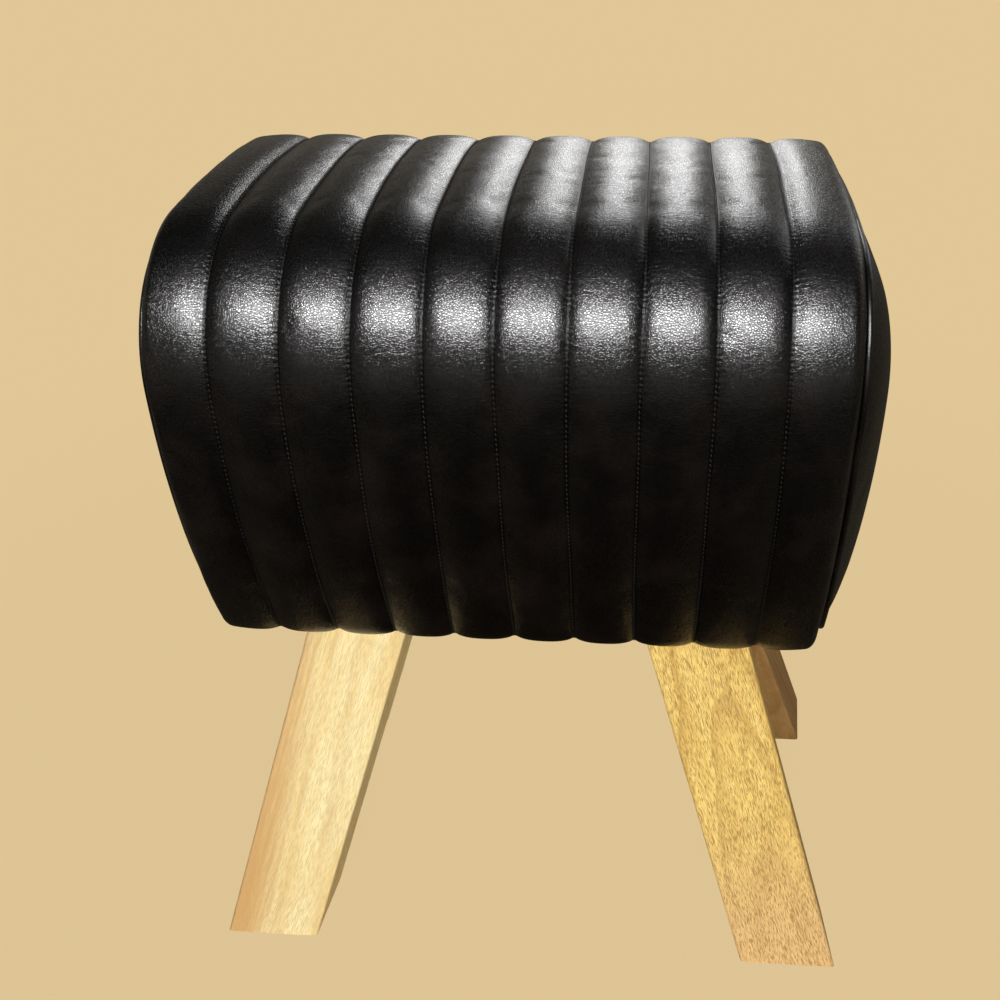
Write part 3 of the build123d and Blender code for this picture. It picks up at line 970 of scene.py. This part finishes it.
def new_piece(name, points, faces, flat_places):
    """A mesh object; flat_places become its UV map."""
    mesh = bpy.data.meshes.new(name)
    mesh.from_pydata([tuple(point) for point in points], [], faces)
    layer = mesh.uv_layers.new(name="flat")
    corners = np.zeros(len(mesh.loops), int)
    mesh.loops.foreach_get("vertex_index", corners)
    layer.data.foreach_set("uv", np.asarray(flat_places, float)[corners].ravel())
    mesh.shade_smooth()
    piece = bpy.data.objects.new(name, mesh)
    scene.collection.objects.link(piece)
    return piece


def point_array(mesh, measure="co"):
    """The places of all points of a mesh, or another measure of them, in rows of three."""
    values = np.zeros(len(mesh.vertices) * 3)
    mesh.vertices.foreach_get(measure, values)
    return values.reshape(-1, 3)


print("Grid helpers ready")

# %% [markdown]
# ## Padded leather
# Padding pushes leather outward between the lines where it is sewn down. Blender's cloth
# simulation does just that: the sewn points are pinned, air pressure stands for the padding,
# and the leather is cut a little large, so that it puckers as real leather does. A cap on how
# far a point may move keeps the cushion to its measured size. Where the padding is firm, no
# point sinks in.

# %% Cloth simulation
cloth_frames = 20
cloth_quality = 5
leather_stiffness = 15.0
leather_bending = 0.5


def puff_up(piece, sewn, pressure, spare_share, cap, firm=False):
    """Inflates the leather between its sewn points; over firm foam no point sinks in."""
    start = point_array(piece.data)
    normals = point_array(piece.data, "normal")
    group = piece.vertex_groups.new(name="sewn")
    group.add([int(index) for index in sewn], 1.0, "REPLACE")
    modifier = piece.modifiers.new("puff", "CLOTH")
    cloth = modifier.settings
    cloth.vertex_group_mass = "sewn"
    cloth.quality = cloth_quality
    cloth.use_pressure = True
    cloth.uniform_pressure_force = pressure
    cloth.tension_stiffness = leather_stiffness
    cloth.compression_stiffness = leather_stiffness
    cloth.shear_stiffness = leather_stiffness / 3
    cloth.bending_stiffness = leather_bending
    cloth.shrink_min = -spare_share
    cloth.effector_weights.gravity = 0
    modifier.collision_settings.use_collision = False
    modifier.point_cache.frame_start = 1
    modifier.point_cache.frame_end = cloth_frames
    for number in range(1, cloth_frames + 1):
        scene.frame_set(number)
    shaped = piece.evaluated_get(bpy.context.evaluated_depsgraph_get())
    move = point_array(shaped.data) - start
    reach = np.linalg.norm(move, axis=1)
    move *= np.minimum(1, cap / np.maximum(reach, cap / 1000))[:, None]
    if firm:
        sinking = np.minimum((move * normals).sum(axis=1), 0)
        move -= sinking[:, None] * normals
    piece.modifiers.remove(modifier)
    piece.vertex_groups.clear()
    piece.data.vertices.foreach_set("co", (start + move).ravel())
    piece.data.update()
    scene.frame_set(1)
    most = round(reach.max() / MM, 2)
    print(piece.name, "moved in mm: mean", round(reach.mean() / MM, 2), "most", most)


print("Cloth simulation ready")

# %% [markdown]
# ## Finishing soft pieces
# A leather piece gets its thickness and its finish after it has been shaped. Each padded piece
# then takes the place of its CAD solid.

# %% Finishing helpers
leather_thickness = 1.2 * MM


def finish_leather(piece, material):
    """Thickness, smoothness and finish of a leather piece."""
    wall = piece.modifiers.new("thickness", "SOLIDIFY")
    wall.thickness = leather_thickness
    wall.offset = -1
    smooth = piece.modifiers.new("smooth", "SUBSURF")
    smooth.levels = smooth.render_levels = 1
    piece.data.materials.append(material)


def place_padded(piece, node):
    """Puts a padded piece in the place of its CAD solid."""
    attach(piece, "root")
    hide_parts(node)


print("Finishing helpers ready")

# %% [markdown]
# ## The ribbed cover
# One piece of leather covers the front, the seat and the back. It is sewn through its wadding
# along nine lines, which leaves eight equal channels and a wider one at each end that rolls
# down to the piping. Its grid has more columns near the seams, where the leather turns sharply
# inward, and the pinned seams wander a little, as hand-guided seams do.

# %% Ribbed cover
channel_pitch = 35 * MM
last_seam = 140 * MM
channel_rise = 3.8 * MM
channel_fullness = 2.8
channel_steepness = 0.8
crowding_shares = (0.55, 0.45)
start_fullness_share = 0.90
end_rib_top = (155 * MM, 2.9 * MM)
end_rib_corner = (168 * MM, 1.9 * MM)
end_slope_power = 1.5
cover_edge = (175.1 * MM, -9.3 * MM)
cover_lap = (175.5 * MM, -11.4 * MM)
row_spacing = 4 * MM
channel_columns = 12
end_columns = 12
held_hem_rows = 3
seam_strays = ((0.35 * MM, 19, 41), (0.2 * MM, 53, 97))


def inner_channels():
    """Places along the stool and heights over the seams, across the eight equal channels."""
    step = np.arange(channel_columns) * 2 / channel_columns - 1
    turn = crowding_shares[0] * np.sin(step * math.pi / 2) + crowding_shares[1] * step
    height = channel_rise * (1 - np.abs(turn) ** channel_fullness) ** channel_steepness
    along = [
        -last_seam + channel_pitch * (number + (1 + turn) / 2)
        for number in range(round(2 * last_seam / channel_pitch))
    ]
    return np.concatenate(along + [[last_seam]]), np.append(np.tile(height, len(along)), 0)


def end_channel():
    """The right end channel from its seam, not counted: up, along, over and under the piping."""
    top_along, top_height = end_rib_top
    corner_along, corner_height = end_rib_corner
    edge_along, edge_height = cover_edge
    lap_along, lap_height = cover_lap
    turn = np.linspace(0, math.pi / 2, end_columns // 2 + 1)
    first = 1 - np.sin(turn[1:])
    rising = top_height * (1 - first**channel_fullness) ** channel_steepness
    slope = np.linspace(0, 1, end_columns // 3 + 2)[1:-1]
    sloping = top_height + (corner_height - top_height) * slope**end_slope_power
    falling = edge_height + (corner_height - edge_height) * np.cos(turn)
    along = np.concatenate((
        top_along - (top_along - last_seam) * first,
        top_along + (corner_along - top_along) * slope,
        corner_along + (edge_along - corner_along) * np.sin(turn),
        (lap_along,),
    ))
    return along, np.concatenate((rising, sloping, falling, (lap_height,)))


def cover_columns():
    """Places along the stool, heights over the seams, and which columns are sewn."""
    along, height = inner_channels()
    sewn = np.zeros(len(along), bool)
    sewn[::channel_columns] = True
    end_along, end_height = end_channel()
    end_sewn = np.zeros(len(end_along), bool)
    end_sewn[-2:] = True
    return (
        np.concatenate((-end_along[::-1], along, end_along)),
        np.concatenate((end_height[::-1], height, end_height)),
        np.concatenate((end_sewn[::-1], sewn, end_sewn)),
    )


def seam_wander(along, distance):
    """How far a seam strays from its line, a fraction of a millimetre either way."""
    return sum(
        size * np.sin(distance * down + along * sideways) for size, down, sideways in seam_strays
    )


def cover_grid():
    """Points of the cover: rows follow the outline, columns cross the channels."""
    along, height, sewn = cover_columns()
    rows = round((outline_length + 2 * hem_tuck) / row_spacing)
    distance = np.linspace(-hem_tuck, outline_length + hem_tuck, rows)
    places, outward = outline_points(distance)
    rise = np.where(np.abs(along) <= last_seam, height * start_fullness_share, height)
    strays = np.where(np.abs(along) < cover_edge[0] - MM, 1.0, 0.0)
    points = np.zeros((rows, len(along), 3))
    points[:, :, 0] = along + strays * seam_wander(along[None, :], distance[:, None])
    points[:, :, 1] = places[:, :1] + outward[:, :1] * rise
    points[:, :, 2] = places[:, 1:] + outward[:, 1:] * rise
    flat = np.stack(np.broadcast_arrays(along[None, :], distance[:, None]), axis=-1)
    return points, flat, sewn


def make_cover():
    """The leather of the channels, puffed up between its seams."""
    points, flat, sewn = cover_grid()
    rows, columns = points.shape[:2]
    faces = grid_faces(rows, columns)
    piece = new_piece("channel_cover", points.reshape(-1, 3), faces, flat.reshape(-1, 2))
    held = np.zeros((rows, columns), bool)
    held[:, sewn] = True
    held[:held_hem_rows] = True
    held[-held_hem_rows:] = True
    puff_up(piece, np.flatnonzero(held), pressure=4, spare_share=0.0015, cap=0.6 * MM)
    finish_leather(piece, leathers["cover"])
    place_padded(piece, "ribbed_cover")
    return piece


cover = make_cover()
print("Cover points:", len(cover.data.vertices))

# %% [markdown]
# ## The crowned ends
# A leather panel closes each end, stretched over a crowned foam block. A square grid is bent
# into the shape of the end, ring by ring, so the middle has no pinched pole and the faces stay
# even for the cloth simulation. Only the rim is sewn. The foam behind it is firm, so the panel
# may swell but doesn't sink. A hem folds under the base.

# %% End panels
sides = {"left": -1, "right": 1}
piping_along = 177.3 * MM
panel_inset = 14.5 * MM
crown_rise = 31 * MM
crown_height = 384.5 * MM
crown_fullness = 2.15
crown_steepness = 0.84
crown_start_share = 0.985
ring_crowding = 0.9
panel_rings = 30
hem_columns = 37
hem_rows_between = 6
hem_folds = (
    (177.3 * MM, 278.7 * MM, 100.0 * MM),
    (175.4 * MM, 276.7 * MM, 98.0 * MM),
    (169.3 * MM, 265.7 * MM, 93.0 * MM),
    (149.0 * MM, 265.7 * MM, 72.0 * MM),
)


def rim_distances():
    """Distances along the outline, evenly spaced on each side of the end, corner to corner."""
    heel, side, shoulder = (arc_length(arc) for arc in arcs[:3])
    lower = heel / 2
    upper = heel + side + shoulder / 2
    stops = (lower, upper, outline_length - upper, outline_length - lower, outline_length - heel_depth)
    counts = (2 * panel_rings, 2 * panel_rings, 2 * panel_rings, panel_rings)
    runs = [
        np.linspace(first, last, count, endpoint=False)
        for first, last, count in zip(stops, stops[1:], counts)
    ]
    return np.concatenate(runs + [np.linspace(heel_depth, lower, panel_rings, endpoint=False)])


def steps_round(up, across, ring):
    """How many steps round its square ring a grid point lies."""
    if across == -ring and up < ring:
        return up + ring
    if up == ring and across < ring:
        return 2 * ring + across + ring
    if across == ring and up > -ring:
        return 4 * ring + ring - up
    return 6 * ring + ring - across


def crown_points():
    """A square grid bent to the end's outline and raised into its crown."""
    places, outward = outline_points(rim_distances())
    rim = places - outward * panel_inset
    middle = np.array((0.0, crown_height))
    side = 2 * panel_rings + 1
    points = np.zeros((side, side, 3))
    for row in range(side):
        for column in range(side):
            up, across = row - panel_rings, column - panel_rings
            ring = max(abs(up), abs(across))
            size = math.sin(ring / panel_rings * math.pi / 2) ** ring_crowding
            spot = round(steps_round(up, across, ring) / max(8 * ring, 1) * len(rim)) % len(rim)
            flat = middle + (rim[spot] - middle) * size
            swell = (1 - size**crown_fullness) ** crown_steepness * crown_rise * crown_start_share
            points[row, column] = (piping_along + swell, *flat)
    return points


def hem_grid():
    """The lower hem of a panel, folded under the base board, with rows between its folds."""
    folds = np.array(hem_folds)
    steps = np.arange((len(folds) - 1) * hem_rows_between + 1) / hem_rows_between
    rows = [np.interp(steps, range(len(folds)), measure) for measure in folds.T]
    points = np.zeros((len(steps), hem_columns, 3))
    for row, (along, height, half_width) in enumerate(zip(*rows)):
        points[row, :, 0] = along
        points[row, :, 1] = np.linspace(-half_width, half_width, hem_columns)
        points[row, :, 2] = height
    return points


def make_end_panel(name, side, node):
    """A crowned panel with its hem, on the right (1) or the left (-1)."""
    crown, hem = crown_points(), hem_grid()
    size = crown.shape[0]
    points = np.concatenate((crown.reshape(-1, 3), hem.reshape(-1, 3)))
    points[:, 0] *= side
    faces = [face[::side] for face in grid_faces(size, size)]
    for face in grid_faces(*hem.shape[:2]):
        faces.append(tuple(corner + size * size for corner in face[::-side]))
    piece = new_piece(name, points, faces, points[:, 1:])
    rim = np.zeros((size, size), bool)
    rim[[0, -1], :] = True
    rim[:, [0, -1]] = True
    sewn = np.concatenate((np.flatnonzero(rim), np.arange(size * size, len(points))))
    puff_up(piece, sewn, pressure=3, spare_share=0.003, cap=1.4 * MM, firm=True)
    finish_leather(piece, leathers["panel"])
    place_padded(piece, node)
    return piece


for side_name, side in sides.items():
    panel = make_end_panel(f"crowned_panel_{side_name}", side, f"end_panel_{side_name}")
    print(panel.name, "points:", len(panel.data.vertices))

# %% [markdown]
# ## Lines that grow into pieces
# Piping, stitches and staples all follow lines, so Geometry Nodes make them. A piece starts as
# bare lines of points that know which way is outward. A node tree with named inputs turns the
# lines into geometry, and the result is kept as a plain mesh.

# %% Geometry helpers
input_kinds = {int: "NodeSocketInt", float: "NodeSocketFloat"}


def outline_line(along, inset, first, last, spacing):
    """Points and outward directions of a line that follows the outline at one place along."""
    distance = np.linspace(first, last, round((last - first) / spacing) + 1)
    places, outward = outline_points(distance)
    line = np.column_stack((np.full(len(distance), along), places - outward * inset))
    return line, np.column_stack((np.zeros(len(distance)), outward))


def line_object(name, lines):
    """Loose lines of points with their outward directions, ready for Geometry Nodes."""
    points = np.concatenate([line for line, _ in lines])
    outward = np.concatenate([directions for _, directions in lines])
    edges = []
    start = 0
    for line, _ in lines:
        edges += [(start + step, start + step + 1) for step in range(len(line) - 1)]
        start += len(line)
    mesh = bpy.data.meshes.new(name)
    mesh.from_pydata([tuple(point) for point in points], edges, [])
    attribute = mesh.attributes.new("outward", "FLOAT_VECTOR", "POINT")
    attribute.data.foreach_set("vector", outward.ravel())
    piece = bpy.data.objects.new(name, mesh)
    scene.collection.objects.link(piece)
    return piece


def new_geometry_tree(name, inputs):
    """A Geometry Nodes tree with named inputs and one geometry in and out."""
    tree = bpy.data.node_groups.new(name, "GeometryNodeTree")
    tree.interface.new_socket(name="Geometry", in_out="INPUT", socket_type="NodeSocketGeometry")
    for title, value in inputs.items():
        form = input_kinds.get(type(value), "NodeSocketMaterial")
        socket = tree.interface.new_socket(name=title, in_out="INPUT", socket_type=form)
        if value is not None:
            socket.default_value = value
    tree.interface.new_socket(name="Geometry", in_out="OUTPUT", socket_type="NodeSocketGeometry")
    given = tree.nodes.new("NodeGroupInput").outputs
    curve = add_node(tree, "GeometryNodeMeshToCurve", {"Mesh": given["Geometry"]}).outputs[0]
    return tree, given, curve


def swept(tree, given, curve, **shape):
    """A closed round wire along a curve."""
    ring = add_node(tree, "GeometryNodeCurvePrimitiveCircle", {
        "Resolution": given["Sides"],
        "Radius": given["Radius"],
    }).outputs[0]
    inputs = {"Curve": curve, "Profile Curve": ring, "Fill Caps": True, **shape}
    return add_node(tree, "GeometryNodeCurveToMesh", inputs).outputs[0]


def hand_out(tree, given, geometry):
    """Ends a tree: real and smooth geometry, with its material."""
    whole = add_node(tree, "GeometryNodeRealizeInstances", {"Geometry": geometry}).outputs[0]
    smooth = add_node(tree, "GeometryNodeSetShadeSmooth", {"Geometry": whole}).outputs[0]
    dressed = add_node(tree, "GeometryNodeSetMaterial", {
        "Geometry": smooth,
        "Material": given["Material"],
    }).outputs[0]
    feed(tree, tree.nodes.new("NodeGroupOutput"), {0: dressed})


def grown(source, tree, values):
    """Runs a tree on an object and leaves a plain mesh in place of both."""
    modifier = source.modifiers.new(tree.name, "NODES")
    modifier.node_group = tree
    for item in tree.interface.items_tree:
        if item.in_out == "INPUT" and item.name in values:
            modifier[item.identifier] = values[item.name]
    source.update_tag()
    shaped = source.evaluated_get(bpy.context.evaluated_depsgraph_get())
    mesh = bpy.data.meshes.new_from_object(shaped)
    name = source.name
    line_mesh = source.data
    bpy.data.objects.remove(source)
    bpy.data.meshes.remove(line_mesh)
    mesh.name = name
    piece = bpy.data.objects.new(name, mesh)
    scene.collection.objects.link(piece)
    return piece


print("Geometry helpers ready")

# %% [markdown]
# ## Piping
# A strip of leather folded round a cord covers the seam between the wrap and each end. A circle
# is swept along the seam, and a slow noise makes the cord swell and shrink a little, as
# hand-sewn piping does.

# %% Piping
piping_inset = 12.3 * MM
piping_tuck = 8 * MM
piping_spacing = 3 * MM
piping_sizes = {"Radius": 1.9 * MM, "Unevenness share": 0.08, "Bumps per metre": 60.0, "Sides": 12}


def make_piping_tree():
    """Geometry Nodes: a slightly uneven cord along each line."""
    tree, given, curve = new_geometry_tree("piping_tree", {**piping_sizes, "Material": None})
    place = add_node(tree, "GeometryNodeInputPosition").outputs[0]
    swing = calc(tree, "SUBTRACT", noise(tree, place, given["Bumps per metre"]), 0.5)
    scale = calc(tree, "ADD", times(tree, swing, given["Unevenness share"]), 1.0)
    hand_out(tree, given, swept(tree, given, curve, Scale=scale))
    return tree


piping_tree = make_piping_tree()
for side_name, side in sides.items():
    route = outline_line(
        side * piping_along, piping_inset, -piping_tuck, outline_length + piping_tuck, piping_spacing
    )
    cord = line_object(f"piped_edge_{side_name}", [route])
    edge = grown(cord, piping_tree, {"Material": leathers["piping"]})
    place_padded(edge, f"piping_{side_name}")
    print(edge.name, "faces:", len(edge.data.polygons))

# %% [markdown]
# ## Stitches
# About 2,400 short stitches hold the nine seams down. One tree lays any small bent wire or
# thread along a line at an even pitch, so it makes the stitches here and the staples under the
# stool later. Each one lies across the surface normal, turned by a small slant, and a fixed
# seed gives every stitch its own slight angle.

# %% Stitches
stitch_lift = 0.15 * MM
stitch_line_spacing = 4 * MM
stitch_sizes = {
    "Pitch": 2.75 * MM, "Length": 1.9 * MM, "Arch": 0.5 * MM, "Radius": 0.28 * MM,
    "Slant": 0.25, "Play": 0.12, "Sides": 5, "Seed": 4,
}


def slanted(tree, given):
    """The turn of each wire: along its line, upright on the surface, with its own slant."""
    named = {"Name": "outward"}
    outward = add_node(tree, "GeometryNodeInputNamedAttribute", named, data_type="FLOAT_VECTOR")
    turned = add_node(tree, "FunctionNodeAxesToRotation", {
        "Primary Axis": outward.outputs[0],
        "Secondary Axis": add_node(tree, "GeometryNodeInputTangent").outputs[0],
    }, primary_axis="Z", secondary_axis="X").outputs[0]
    angle = add_node(tree, "FunctionNodeRandomValue", {
        "Min": calc(tree, "SUBTRACT", given["Slant"], given["Play"]),
        "Max": calc(tree, "ADD", given["Slant"], given["Play"]),
        "Seed": given["Seed"],
    })
    number = next(socket for socket in angle.outputs if socket.enabled)
    twist = add_node(tree, "FunctionNodeEulerToRotation", {0: joined(tree, {2: number})}).outputs[0]
    both = {0: turned, 1: twist}
    return add_node(tree, "FunctionNodeRotateRotation", both, rotation_space="LOCAL").outputs[0]


def bent_wire(tree, given):
    """One arched wire with its ends sunk by its own radius."""
    half = times(tree, given["Length"], 0.5)
    sunk = times(tree, given["Radius"], -1.0)
    return add_node(tree, "GeometryNodeCurveQuadraticBezier", {
        "Resolution": 4,
        "Start": joined(tree, {0: times(tree, half, -1.0), 2: sunk}),
        "Middle": joined(tree, {2: times(tree, given["Arch"], 2.0)}),
        "End": joined(tree, {0: half, 2: sunk}),
    }).outputs[0]


def make_row_tree():
    """Geometry Nodes: short arched wires in a row along each line."""
    tree, given, curve = new_geometry_tree("row_tree", {**stitch_sizes, "Material": None})
    pitch = {"Curve": curve, "Length": given["Pitch"]}
    row = add_node(tree, "GeometryNodeInstanceOnPoints", {
        "Points": add_node(tree, "GeometryNodeResampleCurve", pitch, mode="LENGTH").outputs[0],
        "Instance": swept(tree, given, bent_wire(tree, given)),
        "Rotation": slanted(tree, given),
    }).outputs[0]
    hand_out(tree, given, row)
    return tree


def seam_lines():
    """The nine sewn lines, with the same wander as the cover's seams."""
    first, last = -hem_tuck / 2, outline_length + hem_tuck / 2
    lines = []
    for along in np.arange(-last_seam, last_seam + channel_pitch / 2, channel_pitch):
        line, outward = outline_line(along, -stitch_lift, first, last, stitch_line_spacing)
        line[:, 0] += seam_wander(along, np.linspace(first, last, len(line)))
        lines.append((line, outward))
    return lines


row_tree = make_row_tree()
stitches = grown(line_object("seam_stitches", seam_lines()), row_tree, {"Material": thread})
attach(stitches, "root")
print("Stitch faces:", len(stitches.data.polygons))

# %% [markdown]
# ## Foam and wadding
# The padding inside keeps the CAD solids' exact form, because it fits between the box and the
# leather with a gap of a third of a millimetre. Each piece is a merged copy of its solid, with
# its own foam or wadding finish.

# %% Foam and wadding
merge_distance = 0.01 * MM


def padding_copy(node, name, material):
    """A soft piece with the shape of its CAD solid, its loose triangles joined."""
    mesh = nodes[node].data.copy()
    shape = bmesh.new()
    shape.from_mesh(mesh)
    bmesh.ops.remove_doubles(shape, verts=shape.verts, dist=merge_distance)
    shape.to_mesh(mesh)
    shape.free()
    mesh.materials.clear()
    mesh.materials.append(material)
    piece = bpy.data.objects.new(name, mesh)
    scene.collection.objects.link(piece)
    place_padded(piece, node)
    return piece


for node in ("seat_foam", "front_foam", "rear_foam", "end_pad_left", "end_pad_right"):
    padding_copy(node, node + "_block", foam)
quilt = padding_copy("quilt_wadding", "quilt_wadding_sheet", wadding)
print("Wadding faces:", len(quilt.data.polygons))

# %% [markdown]
# ## The cloth under the base
# Thin black cloth closes the underside, cut out round the legs and stapled along its edge. It
# is one sheet: a grid with two gaps in it, which dips a little between its staples.

# %% Lining material
lining_dark = (0.008, 0.008, 0.009, 1)
lining_pale = (0.022, 0.022, 0.024, 1)
weave_waves = 9000.0
weave_depth = 0.08 * MM
lining_roughness = (0.75, 0.9)


def make_lining():
    """Black woven lining with a fine crossed thread pattern."""
    material, tree, shader = new_material("black_lining")
    parts = parts_of(tree, object_place(tree))
    warp, weft = (calc(tree, "SINE", times(tree, parts[axis], weave_waves)) for axis in "XY")
    weave = times(tree, warp, weft)
    feed(tree, shader, {
        "Base Color": mixed(tree, fade(tree, weave, -1.0, 1.0), lining_dark, lining_pale),
        "Normal": bump(tree, weave, weave_depth),
        "Roughness": fade(tree, weave, -1.0, 1.0, *lining_roughness),
        "Sheen Weight": 0.2,
    })
    return material


lining_material = make_lining()
print("Lining:", lining_material.name)

# %% Base cloth
cloth_thickness = 0.4 * MM
cloth_spacing = 8 * MM
cloth_dip = 0.9 * MM
dip_reach = 30 * MM
dip_shares = (0.6, 0.4)
dip_waves = (60, 75)


def divided(stops, spacing):
    """Evenly divided places that include every stop."""
    places = [stops[0]]
    for low, high in zip(stops, stops[1:]):
        places += list(np.linspace(low, high, max(2, math.ceil((high - low) / spacing)) + 1)[1:])
    return np.array(places)


def fields_between(places, gaps):
    """Which fields between neighbouring places lie in one of the gaps."""
    middle = (places[:-1] + places[1:]) / 2
    return np.any([(middle > low) & (middle < high) for low, high in gaps], axis=0)


def cloth_edges():
    """Where the CAD cloth's edges and cut-outs lie, along and across the stool."""
    corners = np.round(point_array(nodes["base_cloth"].data), 5)
    return sorted(set(corners[:, 0])), sorted(set(corners[:, 1])), corners[:, 2].max()


def cloth_points(along, across, top):
    """The sheet's grid, level at its edge and dipping a little inside."""
    edge = np.minimum(along[-1] - np.abs(along)[None, :], across[-1] - np.abs(across)[:, None])
    along_waves = np.sin(along * dip_waves[0])[None, :]
    across_waves = np.sin(across * dip_waves[1])[:, None]
    waves = dip_shares[1] * along_waves * across_waves
    dip = np.minimum(edge / dip_reach, 1) * (dip_shares[0] + waves)
    points = np.zeros((len(across), len(along), 3))
    points[:, :, 0] = along
    points[:, :, 1] = across[:, None]
    points[:, :, 2] = top - cloth_dip * dip
    return points


def make_base_cloth():
    """The sheet with its two cut-outs."""
    along_stops, across_stops, top = cloth_edges()
    along = divided(along_stops, cloth_spacing)
    across = divided(across_stops, cloth_spacing)
    in_cut = fields_between(along, (along_stops[1:3], along_stops[3:5]))
    in_row = fields_between(across, (across_stops[1:3],))
    keep = ~(in_row[:, None] & in_cut[None, :])
    points = cloth_points(along, across, top)
    faces = [face[::-1] for face in grid_faces(len(across), len(along), keep)]
    piece = new_piece("lining_cloth", points.reshape(-1, 3), faces, points[:, :, :2].reshape(-1, 2))
    wall = piece.modifiers.new("thickness", "SOLIDIFY")
    wall.thickness = cloth_thickness
    wall.offset = 1
    piece.data.materials.append(lining_material)
    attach(piece, "root")
    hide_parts("base_cloth")
    return piece


lining = make_base_cloth()
print("Lining faces:", len(lining.data.polygons))

# %% [markdown]
# ## Staples
# The cloth is stapled round its edge. The tree that laid the stitches lays these too: only the
# wire, its length and its pitch are different.

# %% Staples
staple_inset = 5 * MM
staple_corner_gap = 14 * MM
staple_gap = 0.2 * MM
staple_sizes = {
    "Pitch": 42 * MM, "Length": 10 * MM, "Arch": 0.3 * MM, "Radius": 0.4 * MM,
    "Slant": 0.0, "Play": 0.15, "Sides": 6, "Seed": 9,
}


def staple_lines():
    """One line along each edge of the cloth, on its underside."""
    along_stops, across_stops, top = cloth_edges()
    reach = (along_stops[-1] - staple_inset, across_stops[-1] - staple_inset)
    down = np.array(((0.0, 0.0, -1.0),) * 2)
    lines = []
    for side in (-1, 1):
        for axis, other in ((0, 1), (1, 0)):
            run = reach[axis] - staple_corner_gap
            ends = np.full((2, 3), top - cloth_thickness - staple_gap)
            ends[:, axis] = (-run, run)
            ends[:, other] = side * reach[other]
            lines.append((ends, down))
    return lines


staple_values = {**staple_sizes, "Material": steel}
staples = grown(line_object("cloth_staples", staple_lines()), row_tree, staple_values)
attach(staples, "root")
print("Staple faces:", len(staples.data.polygons))
